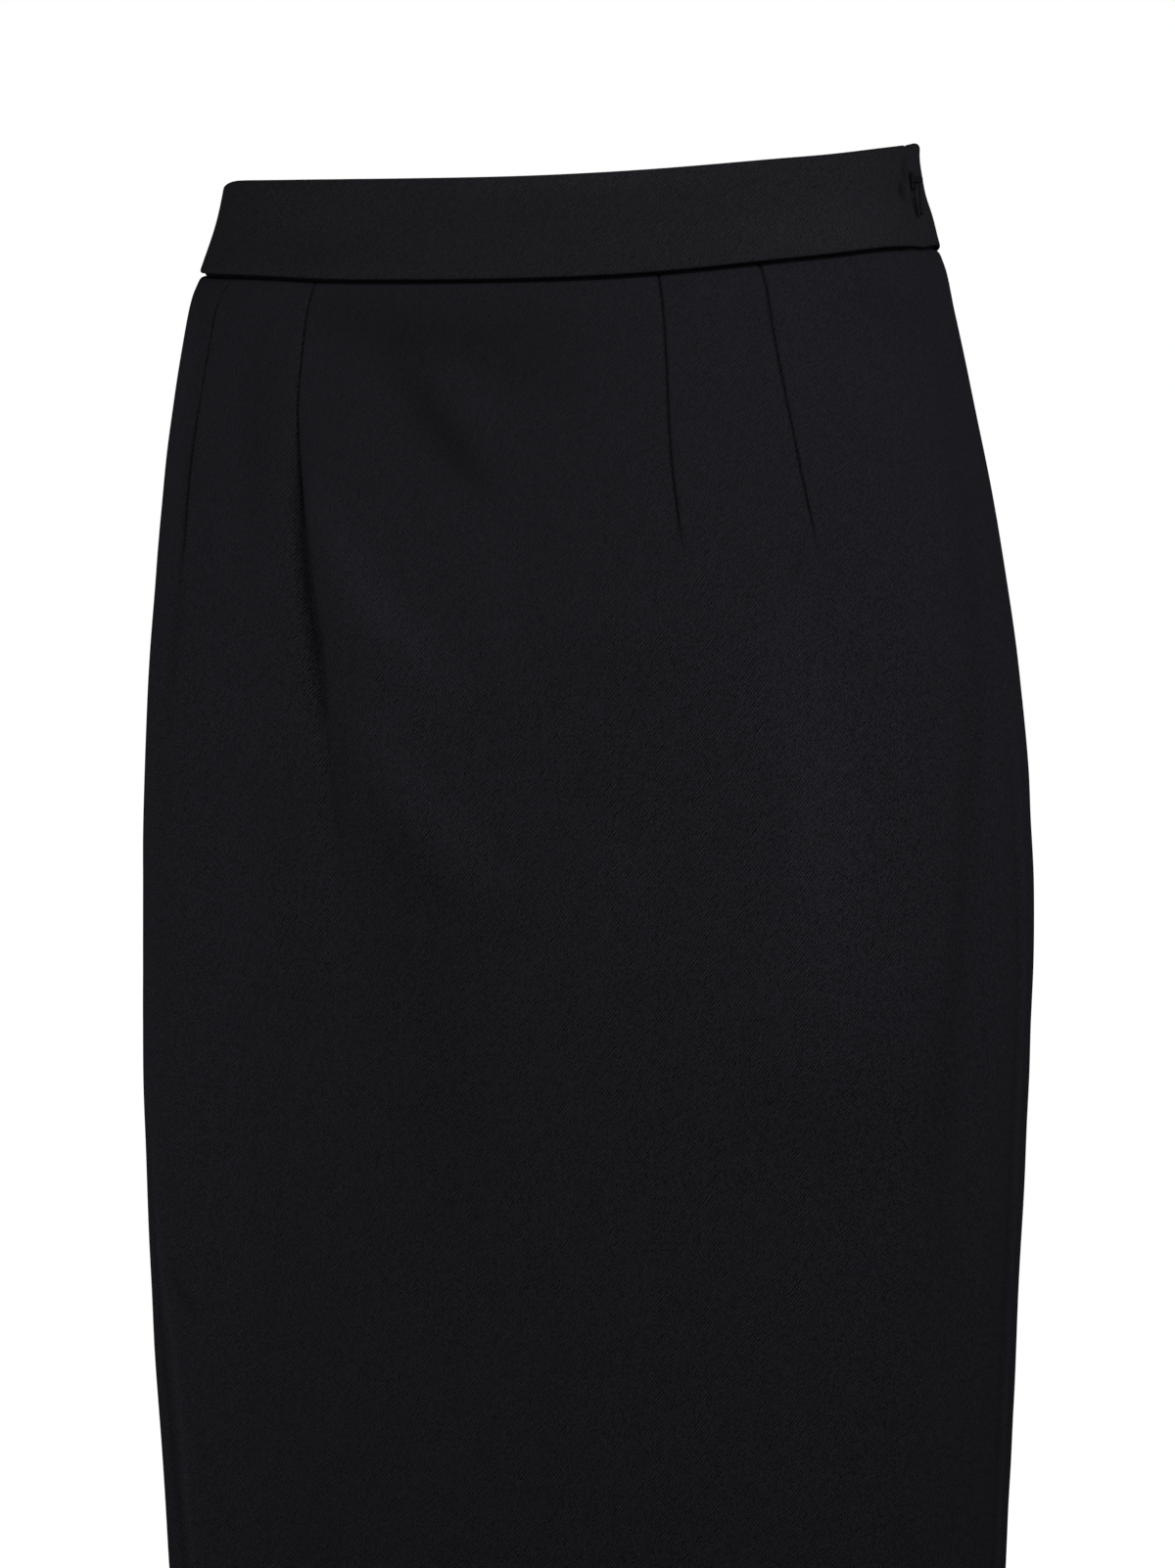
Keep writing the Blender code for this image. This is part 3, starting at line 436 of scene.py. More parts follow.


def panel_painted_shading(half, patches, shares, drops):
    """The painted light and shade of a panel's wool: its patches of painted highlight and
    shade, and painted shade in the seam under the band."""
    arc, down = grids(half, shares, drops)
    seam = soft_step((DITCH_SHADE_EDGE - down) / DITCH_SHADE_SOFT)
    return (1 + fold_relief(patches, shares * arc, down, arc)) * (1 - PAINTED_SEAM_SHADE * seam) - 1


ZIP_SHARE, ZIP_SHARE_SOFT = 0.88, 0.05  # from here to the wearer's left the zip lies behind
ZIP_PROPS = 0.7           # and fills this much of the ditch's depth


def panel_points(half, folds, darts, drops, row_lifts, shares, column_lifts):
    """A panel's points, and their places on the flat cloth."""
    normals = outward(half, shares, drops)
    over_zip = (soft_step((shares - ZIP_SHARE) / ZIP_SHARE_SOFT)
                * (drops < SEAM_DITCH[-1][0])[:, None])
    lift = (panel_lift(half, folds, darts, shares, drops)
            + row_lifts[:, None] * (1 - ZIP_PROPS * over_zip) + np.array(column_lifts)[None, :])
    points = form(half, shares, drops) + normals * lift[..., None]
    arc, down = grids(half, shares, drops)
    return points, np.stack([shares * arc * (1 if half == FRONT else -1), -down], -1)


# Twill: diagonal ribs that rise to the right on the cloth's face, each made of short floats of
# slightly uneven yarn, and a faint mottling of the wool.
RIB_PITCH = 1.2           # along a row of weft
RIB_RISE = 1.6            # up the cloth
FLOAT_WIDTH, FLOAT_HEIGHT = 0.42, 0.56          # of one float of yarn
FLOAT_RELIEF = 0.5        # against a rib's own
# Scales of the wool's noises, per metre of cloth.
YARN_GRAIN, FLECK_GRAIN, CLOUD_GRAIN, PATCH_GRAIN = 240.0, 800.0, 230.0, 45.0
YARN_BEND = 1.1           # how far the yarn's unevenness shifts a rib, in ribs
RIB_STRENGTH = 2.4, -0.75               # how a rib's strength follows the flecks: times, plus
BREAK_STRENGTH = 2.0, -0.85             # and how that of the breaks follows the clouds
BREAKS = 1.3              # waves across the ribs, for each rib
FLOAT_TONE, CLOUD_TONE, PATCH_TONE = 0.8, 0.06, 0.04    # weights in the colour
PRESSED_FROM, PRESSED_FULL = -0.2, -0.1         # up the flat cloth, in metres
PRESSED_RELIEF = 0.62     # how much of its contrast the weave keeps there
DARKEST_TONE = 0.12       # of the cloth's own colour


def new_material(name):
    """A new material, with its node tree and its shader."""
    material = bpy.data.materials.new(name)
    material.use_nodes = True
    return material, material.node_tree, material.node_tree.nodes["Principled BSDF"]


def set_inputs(node, values):
    """Sets a node's inputs by their labels."""
    for label, value in values.items():
        node.inputs[label].default_value = value


def node_group(name, inputs, outputs):
    """A shader node group with those sockets, as (group, its input node, its output node)."""
    group = bpy.data.node_groups.new(name, "ShaderNodeTree")
    for label, kind, default in inputs:
        socket = group.interface.new_socket(label, in_out="INPUT", socket_type=kind)
        if default is not None:
            socket.default_value = default
    for label, kind in outputs:
        group.interface.new_socket(label, in_out="OUTPUT", socket_type=kind)
    return group, group.nodes.new("NodeGroupInput"), group.nodes.new("NodeGroupOutput")


def maths(tree, operation, *values):
    """A Math node's output; each value is a number or a socket."""
    node = tree.nodes.new("ShaderNodeMath")
    node.operation = operation
    for socket, value in zip(node.inputs, values):
        if isinstance(value, bpy.types.NodeSocket):
            tree.links.new(value, socket)
        else:
            socket.default_value = value
    return node.outputs[0]


def noise(tree, vector, scale, detail=2.0):
    """A noise texture's value along a vector socket."""
    node = tree.nodes.new("ShaderNodeTexNoise")
    set_inputs(node, {"Scale": scale, "Detail": detail})
    tree.links.new(vector, node.inputs["Vector"])
    return node.outputs["Fac"]


def add_bump(tree, shader, height, strength, distance):
    """Bumps a shader's surface by a height socket, over a distance in mm."""
    bump = tree.nodes.new("ShaderNodeBump")
    set_inputs(bump, {"Strength": strength, "Distance": distance * MM})
    tree.links.new(height, bump.inputs["Height"])
    tree.links.new(bump.outputs["Normal"], shader.inputs["Normal"])


def make_weave_group():
    """Weave and wool unevenness: a tone around 1 for the colour, scaled by painted light and
    shade, and a height.
    """
    tree, source, result = node_group(
        "twill_weave",
        [("Cloth", "NodeSocketVector", None), ("Pitch", "NodeSocketFloat", RIB_PITCH * MM),
         ("Rise", "NodeSocketFloat", RIB_RISE * MM), ("Contrast", "NodeSocketFloat", 1.0),
         ("Nap", "NodeSocketFloat", 0.0)],
        [("Tone", "NodeSocketFloat"), ("Height", "NodeSocketFloat")])
    cloth = source.outputs["Cloth"]
    parts = tree.nodes.new("ShaderNodeSeparateXYZ")
    tree.links.new(cloth, parts.inputs[0])
    across = maths(tree, "DIVIDE", parts.outputs["X"], source.outputs["Pitch"])
    up = maths(tree, "DIVIDE", parts.outputs["Y"], source.outputs["Rise"])
    # The yarn's unevenness bends the ribs a little and shifts their floats.
    wobble = noise(tree, cloth, YARN_GRAIN)
    phase = maths(tree, "MULTIPLY_ADD", wobble, YARN_BEND, maths(tree, "SUBTRACT", across, up))
    wave = maths(tree, "SINE", maths(tree, "MULTIPLY", phase, 2 * math.pi))
    cell = tree.nodes.new("ShaderNodeCombineXYZ")
    for socket, place, size in ((0, parts.outputs["X"], FLOAT_WIDTH),
                                (1, parts.outputs["Y"], FLOAT_HEIGHT)):
        count = maths(tree, "DIVIDE", place, size * MM)
        tree.links.new(maths(tree, "FLOOR", maths(tree, "ADD", count, wobble)), cell.inputs[socket])
    floats = tree.nodes.new("ShaderNodeTexWhiteNoise")
    floats.noise_dimensions = "2D"
    tree.links.new(cell.outputs[0], floats.inputs["Vector"])
    flecks = noise(tree, cloth, FLECK_GRAIN, detail=1.0)
    clouds = noise(tree, cloth, CLOUD_GRAIN)
    patches = noise(tree, cloth, PATCH_GRAIN)
    # The ribs stand out more here and less there, and here and there breaks cross them.
    crossing = maths(tree, "MULTIPLY", maths(tree, "ADD", across, up), BREAKS * 2 * math.pi)
    breaks = maths(tree, "MULTIPLY", maths(tree, "SINE", crossing),
                   maths(tree, "MULTIPLY_ADD", clouds, *BREAK_STRENGTH))
    strength = maths(tree, "MULTIPLY_ADD", flecks, *RIB_STRENGTH)
    tone = maths(tree, "MULTIPLY_ADD", wave, strength, breaks)
    for value, weight in ((floats.outputs["Value"], FLOAT_TONE), (clouds, CLOUD_TONE),
                          (patches, PATCH_TONE)):
        centred = maths(tree, "SUBTRACT", value, 0.5)
        tone = maths(tree, "MULTIPLY_ADD", centred, weight, tone)
    # The weave is flatter in the skirt's upper part, which is pressed more.
    relief = tree.nodes.new("ShaderNodeMapRange")
    tree.links.new(parts.outputs["Y"], relief.inputs["Value"])
    set_inputs(relief, {"From Min": PRESSED_FROM, "From Max": PRESSED_FULL,
                        "To Min": 1.0, "To Max": PRESSED_RELIEF})
    tone = maths(tree, "MULTIPLY", tone, relief.outputs["Result"])
    tone = maths(tree, "MULTIPLY_ADD", tone, source.outputs["Contrast"], 1.0)
    # The tone is scaled by one plus the painted light and shade.
    tone = maths(tree, "MULTIPLY", maths(tree, "MAXIMUM", tone, DARKEST_TONE),
                 maths(tree, "ADD", source.outputs["Nap"], 1.0))
    tree.links.new(tone, result.inputs["Tone"])
    height = maths(tree, "MULTIPLY_ADD", floats.outputs["Value"], FLOAT_RELIEF, wave)
    tree.links.new(height, result.inputs["Height"])
    return tree


weave_group = make_weave_group()


def make_cloth(name, black, contrast, roughness=0.8, gloss=0.0):
    """A woven cloth, matt as wool, whose colour and bumps follow its flat place, and whose colour
    carries painted light and shade.
    """
    material, tree, shader = new_material(name)
    set_inputs(shader, {"Roughness": roughness, "Specular IOR Level": gloss})
    cloth = tree.nodes.new("ShaderNodeAttribute")
    cloth.attribute_name = "cloth"
    weave = tree.nodes.new("ShaderNodeGroup")
    weave.node_tree = weave_group
    set_inputs(weave, {"Contrast": contrast})
    tree.links.new(cloth.outputs["Vector"], weave.inputs["Cloth"])
    # Painted light and shade, read from the piece's attribute.
    nap = tree.nodes.new("ShaderNodeAttribute")
    nap.attribute_name = "nap"
    tree.links.new(nap.outputs["Fac"], weave.inputs["Nap"])
    colour = tree.nodes.new("ShaderNodeVectorMath")
    colour.operation = "SCALE"
    colour.inputs[0].default_value = black
    tree.links.new(weave.outputs["Tone"], colour.inputs["Scale"])
    tree.links.new(colour.outputs[0], shader.inputs["Base Color"])
    add_bump(tree, shader, weave.outputs["Height"], strength=0.3, distance=0.08)
    return material


CLOTH = 0.8               # thickness of the twill
twill = make_cloth("black_wool_twill", (0.00895, 0.00837, 0.01045), contrast=1.0)
row_drops, row_lifts = panel_rows()


def make_panel(name, half, folds, patches, darts, right_edge, left_edge):
    """A panel of twill between two of its half's seams, with the darts that lie on it."""
    own_darts = [dart for dart in darts if right_edge[0] < dart.path[0][1] < left_edge[0]]
    shares, column_lifts = panel_columns(half, row_drops, own_darts, right_edge, left_edge)
    points, flat = panel_points(half, folds, darts, row_drops, row_lifts, shares, column_lifts)
    # Painted light and shade for the panel's colour, with painted shade in the seam under the band.
    nap = panel_painted_shading(half, patches, shares, row_drops)
    if half == BACK:                  # its columns run the other way, seen from outside
        points, flat, nap = points[:, ::-1], flat[:, ::-1], nap[:, ::-1]
    return cloth_piece(name, points, flat, CLOTH, twill, nap)


front = make_panel("front_panel", FRONT, FRONT_FOLDS, FRONT_PAINTED_SHADING, FRONT_DARTS, (-1, SEAM_EDGE),
                   (1, SEAM_EDGE))
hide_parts("front")


# --------------------------------------------
# The back is two pieces of the same twill, each with two darts, joined down the centre back.
# The seam opens into a lapped walking vent: the left back's pressed edge lies over the right's.
# --------------------------------------------

VENT_TOP = LENGTH - 170.0
VENT_LAP = 36.0           # how far the right back's under layer reaches past the centre back
VENT_FACING = 33.0        # and the left back's facing the other way, inside
VENT_OPENS = 14.0         # the allowance widens to the vent's layers over this height
UNDER = 1.95              # how far the right back sinks below the left back's facing
BACK_FOLDS = (
    # A dip under the waistband at the small of the back.
    Fold(-1.6, 13, ((-0.52, 62), (-0.20, 78), (0.15, 80), (0.50, 66))),
    Fold(1.0, 12, ((-0.45, 95), (-0.10, 108), (0.30, 104))),
    # Drag lines from the side seams under the seat.
    Fold(-1.5, 11, ((-0.86, 235), (-0.62, 268), (-0.35, 292))),
    Fold(-1.4, 12, ((0.88, 245), (0.64, 282), (0.40, 318))),
    Fold(1.2, 13, ((-0.80, 290), (-0.56, 322), (-0.30, 345))),
    Fold(1.1, 14, ((0.78, 205), (0.52, 236), (0.28, 250))),
    # Pulls that fan up from the top of the vent.
    Fold(-1.5, 11, ((-0.09, 470), (-0.24, 428), (-0.42, 404))),
    Fold(-1.3, 10, ((0.10, 462), (0.23, 412), (0.36, 372))),
    Fold(1.0, 12, ((0.16, 520), (0.33, 470), (0.52, 430))),
)
# Painted highlights and painted shade along the back's folds and beside its side seams.
BACK_PAINTED_SHADING = (
    Fold(-0.12, 12, ((-0.40, 52), (-0.10, 60), (0.25, 58))),
    Fold(0.10, 18, ((-0.50, 150), (-0.42, 215), (-0.36, 270))),
    Fold(0.10, 18, ((0.42, 150), (0.40, 215), (0.38, 280))),
    Fold(-0.08, 14, ((-0.70, 320), (-0.35, 345), (-0.10, 350))),
    Fold(-0.08, 14, ((0.70, 330), (0.40, 350), (0.15, 360))),
    Fold(0.25, 2.4, ((0.968, 200), (0.968, 330), (0.968, 500), (0.968, 650))),
    Fold(0.20, 2.4, ((-0.968, 200), (-0.968, 330), (-0.968, 500), (-0.968, 650))),
)
BACK_DARTS = (
    Dart(158, ((37, -0.350), (158, -0.335), (300, -0.33), (LENGTH, -0.33))),
    Dart(142, ((37, -0.600), (142, -0.600), (300, -0.60), (LENGTH, -0.62))),
    Dart(158, ((37, 0.350), (158, 0.335), (300, 0.33), (LENGTH, 0.33))),
    Dart(142, ((37, 0.600), (142, 0.600), (300, 0.60), (LENGTH, 0.62))),
)


def vent_edge(drops, lap):
    """A centre-back edge whose inner layer widens from the seam's allowance to the vent's lap."""
    opened = soft_step((drops - VENT_TOP) / VENT_OPENS + 1)
    allowance, turn = SEAM_EDGE[0][0], SEAM_EDGE[3][0]
    rows = []
    for distance, lift in SEAM_EDGE:
        beyond = max(distance - turn, 0) / (allowance - turn)
        rows.append((distance + beyond * (lap - allowance) * opened, lift))
    return rows


# The right back's edge runs on under the left back: an allowance above, the under layer below.
right_under = [(-distance, -UNDER) for distance, _ in vent_edge(row_drops, VENT_LAP)[:4]]
right_under += [(-0.6, -UNDER), (-0.2, -1.7), (0.1, -1.1), (0.35, -0.6), (0.8, -0.2), (1.5, -0.04),
                (3.0, 0.0)]
back_left = make_panel("back_left_panel", BACK, BACK_FOLDS, BACK_PAINTED_SHADING, BACK_DARTS,
                       (0, vent_edge(row_drops, VENT_FACING)), (1, SEAM_EDGE))
back_right = make_panel("back_right_panel", BACK, BACK_FOLDS, BACK_PAINTED_SHADING, BACK_DARTS,
                        (-1, SEAM_EDGE), (0, right_under))
for panel, node in ((back_left, "back_left"), (back_right, "back_right")):
    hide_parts(node)


# --------------------------------------------
# The waistband is one strip of twill folded along its upper edge over a stiffener.  It runs from
# the closure at the wearer's left right round to it again, and stands a little proud of the skirt.
# --------------------------------------------

BAND_PROUD = 0.9          # its face, as a lift off the form
BAND_WALL = 2.8           # both layers and the stiffener
BAND_MIDDLE = BAND_PROUD - BAND_WALL / 2
BAND_STEP = 2.4           # between columns, about
BAND_WAVES = 0.5          # stiffened cloth has this share of the plain cloth's waves
BAND_WAVE_SHIFT = {FRONT: 300, BACK: 900}
CLOSURE_TOP_GAP = 3.0     # the band's ends gape at the upper edge
CLOSURE_GAP = 0.5         # and meet over the zip
CLOSURE_GAPE = 17.0       # this far down
END_STEPS = (0.0, 0.1, 0.35, 0.8, 1.5, 2.6, 4.2, 6.2)      # columns beside a closing end
END_CORNER = 2.2          # the ends' upper corners are rounded off by this
CORNER_DEPTH = 9          # and their rows level out again over this height

# Soft hollows and swells of the band, as folds are given; the last ones in front are the dimples
# where the hook's stitches pull the cloth in.
BAND_FOLDS = {
    FRONT: (Fold(-0.6, 5, ((-0.50, 8.5), (-0.20, 9.5), (0.10, 9.0), (0.30, 8.0))),
            Fold(0.25, 6, ((-0.55, 27), (-0.10, 28), (0.35, 26), (0.85, 26))),
            Fold(-2.0, 3.2, ((0.905, 15.5), (0.935, 16.5), (0.965, 17.0))),
            Fold(-1.8, 3.2, ((0.955, 4.0), (0.965, 9.0), (0.97, 13.0)))),
    BACK: (Fold(-1.4, 8, ((0.66, 4), (0.82, 4), (0.96, 4))),
           Fold(0.95, 7, ((0.66, 26), (0.82, 26), (0.97, 26))),
           Fold(-1.2, 3, ((0.96, 6), (0.985, 9), (1.00, 12)))),
}

# How far the band's upper edge dips, by share: it sinks at the wearer's right side.
TOP_DIP = {
    FRONT: ((-1, 3.2), (-0.9, 3.2), (-0.8, 3.0), (-0.74, 2.5), (-0.70, 1.5), (-0.65, 0.4),
            (-0.6, 0), (-0.5, 0), (1, 0)),
    BACK: ((-1, 3.2), (-0.95, 2.2), (-0.9, 1.1), (-0.84, 0.2), (-0.8, 0), (-0.7, 0), (1, 0)),
}
DIP_DEPTH = 16.0          # the rows below level out again over this height

# Painted light and shade on the band, with a painted highlight along its upper edge; the
# last two are painted shade in the dimples.
BAND_PAINTED_SHADING = {
    FRONT: (Fold(-0.08, 7, ((-0.56, 26), (-0.35, 27), (-0.10, 26))),
            Fold(0.16, 4.5, ((-0.15, 3.0), (0.15, 2.5), (0.50, 3.0))),
            Fold(0.10, 8, ((0.45, 27), (0.65, 28), (0.88, 28))),
            Fold(-0.55, 2.8, ((0.905, 15.5), (0.935, 16.5), (0.965, 17.0))),
            Fold(-0.45, 3, ((0.955, 5.0), (0.965, 9.0), (0.97, 13.0)))),
    BACK: (),
}
EDGE_SHADE_HEIGHT = 3           # the band's lower edge, which turns under, has painted shade over this height
EDGE_SHADE_TURN, EDGE_SHADE_SOFT = 0.15, 0.6        # the painted shade starts this far behind the face, over this


def band_profile():
    """The folded strip's cross-section from inside its lower edge over the top and down its face,
    as (drop, lift)."""
    face, lining, radius = BAND_PROUD, BAND_PROUD - BAND_WALL, BAND_WALL / 2
    inside = [(BAND_HEIGHT - 5, lining + 0.7), (BAND_HEIGHT - 0.4, lining + 0.6),
              (BAND_HEIGHT, lining + 0.3), (BAND_HEIGHT - 0.4, lining), (33, lining)]
    inside += [(drop, lining) for drop in (28, 23, 18, 13, 8, 4, 2.4)]
    turned = [(radius * (1 - math.cos(a)), BAND_MIDDLE + radius * math.sin(a))
              for a in np.radians((-88, -66, -44, -22, 0, 22, 44, 66, 88))]
    face_rows = [(drop, face) for drop in (2.4, 4, 6, 8, 10, 12, 14, 16, 18, 20.5, 23, 25.5, 28,
                                           30.5, 32.5, 34.3, 35.4)]
    edge = [(BAND_HEIGHT - 0.9, face - 0.06), (BAND_HEIGHT - 0.4, face - 0.3),
            (BAND_HEIGHT - 0.15, face - 0.75), (BAND_HEIGHT - 0.3, face - 1.25),
            (BAND_HEIGHT - 2, face - 1.45), (BAND_HEIGHT - 8, face - 1.45)]
    return inside + turned + face_rows + edge


def half_band_row(half, drop, lift, flat_down):
    """One row of the strip from the closure to the wearer's right: points, flat places and
    painted light and shade.
    """
    arc = float(reach(half, np.array([BAND_HEIGHT / 2]))[0])
    narrow = CLOSURE_GAP / 2
    gap = narrow + (CLOSURE_TOP_GAP / 2 - narrow) * float(soft_step(1 - drop / CLOSURE_GAPE))
    ends = np.array(END_STEPS)
    count = round((2 * arc - ends[-1]) / BAND_STEP)
    from_end = np.concatenate([ends, np.linspace(ends[-1], 2 * arc - gap, count + 1)[1:]])
    shares = 1 - (gap + from_end) / arc
    across, arcs = shares * arc, np.full_like(shares, arc)

    # A closing end is round across the strip, and its upper corner is rounded off.
    rounded = np.sqrt(np.clip(1 - (1 - from_end / (BAND_WALL / 2)) ** 2, 0, 1))
    rounded[from_end >= BAND_WALL / 2] = 1
    corner = END_CORNER * np.clip(1 - from_end / END_CORNER, 0, 1) ** 2
    lower = (corner * max(0.0, 1 - drop / CORNER_DEPTH)
             + through(TOP_DIP[half], shares)[..., 0] * max(0.0, 1 - drop / DIP_DEPTH))
    down = drop + lower

    depth = (BAND_MIDDLE + (lift - BAND_MIDDLE) * rounded
             + fold_relief(BAND_FOLDS[half], across, down, arcs)
             + BAND_WAVES * cloth_waves(across + BAND_WAVE_SHIFT[half], down))
    points, below = form(half, np.array([shares, shares]), np.array([drop, drop + 1]))
    normals = outward(half, shares[None], np.array([drop]))[0]
    points = points + (below - points) * lower[:, None] + normals * depth[:, None]
    flat_across = (arc - across) * (1 if half == BACK else -1)
    flat = np.stack([flat_across, np.full_like(across, -flat_down)], -1)
    # Painted shade on the band's lower edge where it turns under, and the band's painted light and
    # shade.
    edge = (soft_step((BAND_PROUD - lift - EDGE_SHADE_TURN) / EDGE_SHADE_SOFT)
            * (drop > BAND_HEIGHT - EDGE_SHADE_HEIGHT))
    tone = fold_relief(BAND_PAINTED_SHADING[half], across, down, arcs)
    return points, flat, (1 + tone) * (1 - PAINTED_SEAM_SHADE * edge) - 1


def band_points():
    """The strip's points, flat places and painted light and shade, seen from outside from the
    closure round to it again."""
    rows = []
    profile = band_profile()
    flat_down = 0.0
    for before, (drop, lift) in zip(profile[:1] + profile, profile):
        flat_down += math.dist(before, (drop, lift))
        back_row = half_band_row(BACK, drop, lift, flat_down)
        front_row = half_band_row(FRONT, drop, lift, flat_down)
        rows.append([np.concatenate([back, front[-2::-1]])
                     for back, front in zip(back_row, front_row)])
    return [np.array(kind) for kind in zip(*rows)]


# The band's twill is a little paler than the panels', and its ribs show more.
band_twill = make_cloth("black_wool_twill_pressed", (0.0094, 0.0089, 0.0107), contrast=1.1)
# The strip's colour carries painted light and shade.
strip_points, strip_flat, strip_painted_shading = band_points()
waistband = cloth_piece("waistband_strip", strip_points, strip_flat, 0, band_twill, strip_painted_shading)
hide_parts("waistband")


# --------------------------------------------
# The concealed zip in the wearer's left seam: two woven tapes behind the cloth, the closed coil on
# their inner side, and under it the slider, whose pull hangs outside.
# --------------------------------------------

TAPE_TOP, TAPE_BOTTOM = 19.0, 200.0
TAPE_BEHIND = -2.25       # its outer face, as a lift off the form
TAPE_PRESSED, TAPE_PRESSED_HALF = 0.9, 5.0      # further in where it crosses the waist seam
TAPE_THICK = 0.5
TAPE_HALF = 11.0
TAPE_SLIT = 0.25          # between the seam's line and a tape's inner edge
TAPE_ROWS, TAPE_COLUMNS = 61, 9


def tape_lift(drops):
    """The tape's outer face, as a lift off the form."""
    pressed = np.exp(-(((drops - BAND_HEIGHT) / TAPE_PRESSED_HALF) ** 2))
    return TAPE_BEHIND - TAPE_PRESSED * pressed


# Tightly woven polyester, a little smoother than the twill.
tape_cloth = make_cloth("black_zip_tape", (0.0080, 0.0080, 0.0090), contrast=0.5,
                        roughness=0.7, gloss=0.1)
tape_drops = np.linspace(TAPE_TOP, TAPE_BOTTOM, TAPE_ROWS)
for side_name, start, end in (("front", -TAPE_HALF, -TAPE_SLIT), ("back", TAPE_SLIT, TAPE_HALF)):
    offsets = np.linspace(start, end, TAPE_COLUMNS)
    tape_shares = 1 + offsets[None, :] / reach(FRONT, tape_drops)[:, None]
    tape_points = form(FRONT, tape_shares, tape_drops)
    tape_points += (outward(FRONT, tape_shares, tape_drops)
                    * tape_lift(tape_drops)[:, None, None])
    tape_flat = np.stack(np.meshgrid(offsets, -tape_drops), -1)
    tape = cloth_piece(f"zip_tape_{side_name}", tape_points, tape_flat, TAPE_THICK, tape_cloth)
    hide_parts("zip_tape")

COIL_TOP, COIL_BOTTOM = TAPE_TOP + 1, TAPE_BOTTOM - 6
COIL_PITCH = 1.5
COIL_RADIUS = 0.45
COIL_LENGTH = 3.4         # of one turn of the coil, across the seam


def seam_line(side, drops, lift):
    """Places on a side seam (1 at the wearer's left, -1 at the right), at a lift off the form."""
    shares = np.full((len(drops), 1), side)
    centres, normals = form(FRONT, shares, drops)[:, 0], outward(FRONT, shares, drops)[:, 0]
    return centres + normals * np.reshape(lift, (-1, 1))


def smooth_sides(bm):
    """Smooth shading on a tube's sides, but not on its ends."""
    for face in bm.faces:
        face.smooth = len(face.verts) == 4


def make_yarn(name, grain, roughness, unevenness, gloss):
    """Black nylon or polyester yarn, smoother and rougher along its length."""
    material, tree, shader = new_material(name)
    place = tree.nodes.new("ShaderNodeTexCoord").outputs["Object"]
    set_inputs(shader, {"Base Color": (0.006, 0.006, 0.007, 1), "Specular IOR Level": gloss})
    uneven = maths(tree, "MULTIPLY_ADD", noise(tree, place, grain), unevenness, roughness)
    tree.links.new(uneven, shader.inputs["Roughness"])
    return material


coil_drops = np.arange(COIL_TOP, COIL_BOTTOM, COIL_PITCH / 2)
coil_line = seam_line(1.0, coil_drops, tape_lift(coil_drops) - TAPE_THICK - COIL_RADIUS)
bm = bmesh.new()
for k, place in enumerate(coil_line):
    aside = (1 if k % 2 else -1) * COIL_LENGTH / 4
    tooth = bmesh.ops.create_cone(bm, cap_ends=True, segments=6, radius1=COIL_RADIUS * MM,
                                  radius2=COIL_RADIUS * MM, depth=COIL_LENGTH * MM)
    bmesh.ops.rotate(bm, verts=tooth["verts"], matrix=Matrix.Rotation(math.pi / 2, 3, "X"))
    bmesh.ops.translate(bm, verts=tooth["verts"], vec=Vector(place + (0, aside, 0)) * MM)
smooth_sides(bm)
coil_nylon = make_yarn("black_nylon_coil", grain=900.0, roughness=0.3, unevenness=0.2, gloss=0.5)
coil = add_object("zip_coil", finished_mesh("zip_coil", bm, coil_nylon))
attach(coil, "skirt")


# --------------------------------------------
# The side seams' black sewing thread: a line of it lies between the two pressed allowances, close
# behind the panels' edges, from the zip or the waistband down to the hem's inner edge.
# --------------------------------------------

THREAD_RADIUS = 0.34
THREAD_BEHIND = -1.6      # its centre, as a lift off the form
THREAD_RINGS = 120
THREAD_END = LENGTH - HEM_DEPTH - 1
thread_black = make_yarn("black_thread", grain=1500.0, roughness=0.5, unevenness=0.3, gloss=0.0)
for side_name, side, top in (("left", 1.0, TAPE_BOTTOM + 0.5), ("right", -1.0, BAND_HEIGHT + 4)):
    thread_line = seam_line(side, np.linspace(top, THREAD_END, THREAD_RINGS), THREAD_BEHIND)
    bm = bmesh.new()
    bmesh.ops.create_cone(bm, cap_ends=True, segments=6, radius1=THREAD_RADIUS,
                          radius2=THREAD_RADIUS, depth=1.0)
    upright = [edge for edge in bm.edges if abs(edge.verts[0].co.z - edge.verts[1].co.z) > 0.5]
    bmesh.ops.subdivide_edges(bm, edges=upright, cuts=THREAD_RINGS - 2, use_grid_fill=True)
    for vertex in bm.verts:
        ring = round((0.5 - vertex.co.z) * (THREAD_RINGS - 1))
        vertex.co = Vector(thread_line[ring] + (vertex.co.x, vertex.co.y, 0)) * MM
    smooth_sides(bm)
    thread_name = f"seam_thread_{side_name}"
    thread = add_object(thread_name, finished_mesh(thread_name, bm, thread_black))
    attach(thread, "skirt")


# --------------------------------------------
# The slider, its pull, the hook and the eye keep their solids' form. Their metal is enamelled in
# black, close to the cloth's shade.
# --------------------------------------------

def make_enamel():
    """Black enamel on small metal parts: matt, with a fine orange peel."""
    material, tree, shader = new_material("black_enamel")
    place = tree.nodes.new("ShaderNodeTexCoord").outputs["Object"]
    fine = noise(tree, place, 1600.0, detail=3.0)
    set_inputs(shader, {"Base Color": (0.0082, 0.0078, 0.0096, 1), "Specular IOR Level": 0.0})
    tree.links.new(maths(tree, "MULTIPLY_ADD", fine, 0.25, 0.6), shader.inputs["Roughness"])
    add_bump(tree, shader, fine, strength=0.15, distance=0.03)
    return material


enamel = make_enamel()
for metal_name in ("zip_slider", "zip_pull", "hook", "eye"):
    for metal_slot in bpy.data.objects[metal_name].material_slots:
        metal_slot.material = enamel


# --------------------------------------------
# The studio: a pale floor where a wearer would stand, a soft main lamp high at the wearer's left,
# weaker ones lower in front and at both sides, two behind, and the camera, which stands a little
# to the wearer's left.
# --------------------------------------------

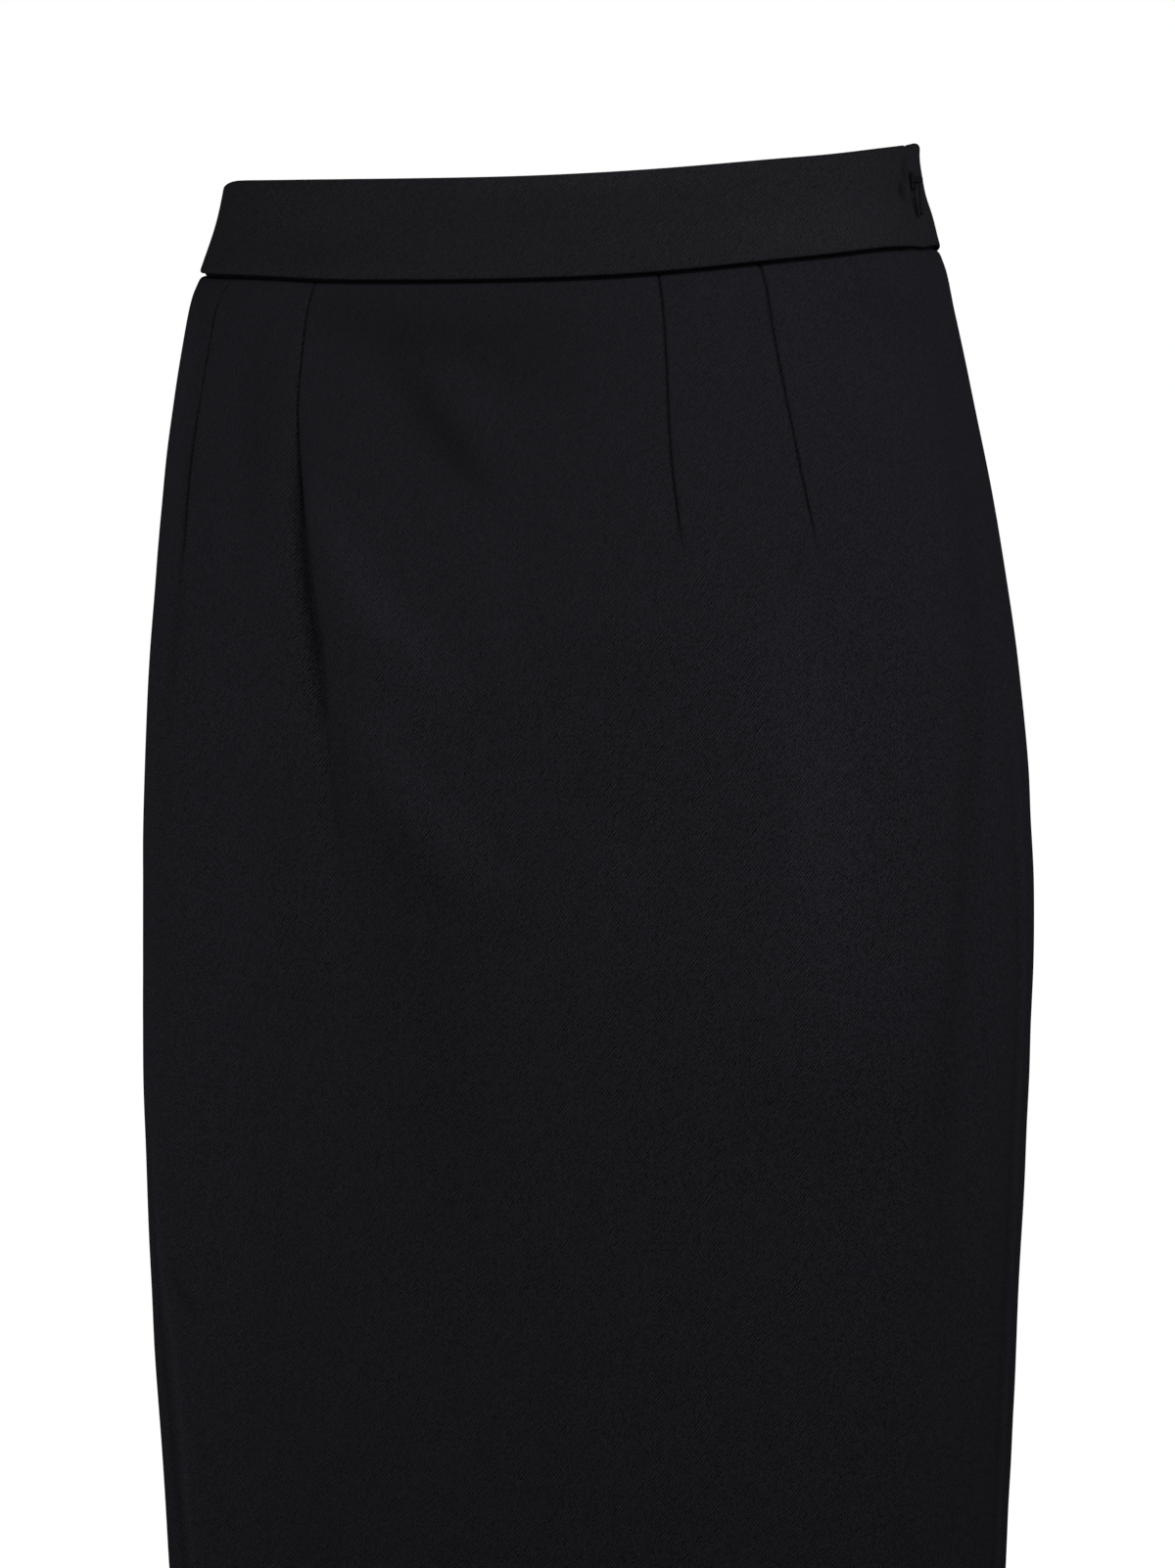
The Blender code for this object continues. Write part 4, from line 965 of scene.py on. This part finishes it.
FLOOR_Z = -1.04           # in metres, as all that stands in the studio
FLOOR_RADIUS = 14.0
bm = bmesh.new()
bmesh.ops.create_circle(bm, cap_ends=True, segments=64, radius=FLOOR_RADIUS)
bmesh.ops.translate(bm, vec=(0, 0, FLOOR_Z), verts=bm.verts)
floor_paint, _, floor_shader = new_material("pale_floor")
set_inputs(floor_shader, {"Base Color": (0.95, 0.95, 0.95, 1), "Roughness": 0.9,
                          "Emission Color": (1, 1, 1, 1), "Emission Strength": 0.8})
floor = add_object("floor", finished_mesh("floor", bm, floor_paint))
floor.visible_diffuse = False         # the white floor doesn't light the cloth from below
floor.visible_glossy = False

# The camera sees a white studio, whose walls light the cloth far less than the lamps do.
WALL_LIGHT = 0.22
world = bpy.data.worlds.new("studio")
world.use_nodes = True
world_tree = world.node_tree
backdrop = world_tree.nodes["Background"]
set_inputs(backdrop, {"Color": (1, 1, 1, 1)})
seen = world_tree.nodes.new("ShaderNodeLightPath").outputs["Is Camera Ray"]
world_tree.links.new(maths(world_tree, "MULTIPLY_ADD", seen, 1 - WALL_LIGHT, WALL_LIGHT),
                     backdrop.inputs["Strength"])
bpy.context.scene.world = world
bpy.context.scene.view_settings.view_transform = "Standard"


# Each lamp's azimuth is its turn, in degrees, from straight in front towards the wearer's left.
Lamp = namedtuple("Lamp", "name power azimuth height away")
LAMPS = (
    Lamp("key", 8.3, 50, 0.25, 0.95),
    Lamp("front", 4.3, -25, -0.12, 0.95),
    Lamp("low", 3.7, -82, -0.28, 0.95),
    Lamp("side", 2.8, 112, -0.1, 0.95),
    Lamp("back_key", 8.0, 198, 0.25, 1.1),
    Lamp("back_fill", 3.0, 165, -0.1, 1.1),
)
LAMP_SIZE = 0.5
LAMP_AIM = Vector((0, 0, -0.2))
for lamp in LAMPS:
    light = bpy.data.lights.new(lamp.name, "AREA")
    light.shape = "SQUARE"
    light.size = LAMP_SIZE
    light.energy = lamp.power
    turn = math.radians(lamp.azimuth)
    stand = add_object(lamp.name, light)
    stand.location = (lamp.away * math.sin(turn), -lamp.away * math.cos(turn), lamp.height)
    stand.rotation_euler = (LAMP_AIM - stand.location).to_track_quat("-Z", "Y").to_euler()
    stand.visible_camera = False

CAMERA_AZIMUTH = math.radians(19.0)
CAMERA_AWAY = 1.30
CAMERA_RIGHT = 0.0053
CAMERA_HEIGHT = -0.1035
CAMERA_PITCH = math.radians(5.2)
camera_data = bpy.data.cameras.new("camera")
camera_data.sensor_width = 36.0
camera_data.lens = 77.71
camera = add_object("camera", camera_data)
right = Vector((math.cos(CAMERA_AZIMUTH), math.sin(CAMERA_AZIMUTH), 0))
ahead = Vector((-math.sin(CAMERA_AZIMUTH), math.cos(CAMERA_AZIMUTH), 0))
camera.location = -ahead * CAMERA_AWAY + right * CAMERA_RIGHT + Vector((0, 0, CAMERA_HEIGHT))
look = ahead * math.cos(CAMERA_PITCH) - Vector((0, 0, math.sin(CAMERA_PITCH)))
camera.rotation_euler = look.to_track_quat("-Z", "Y").to_euler()
bpy.context.scene.camera = camera
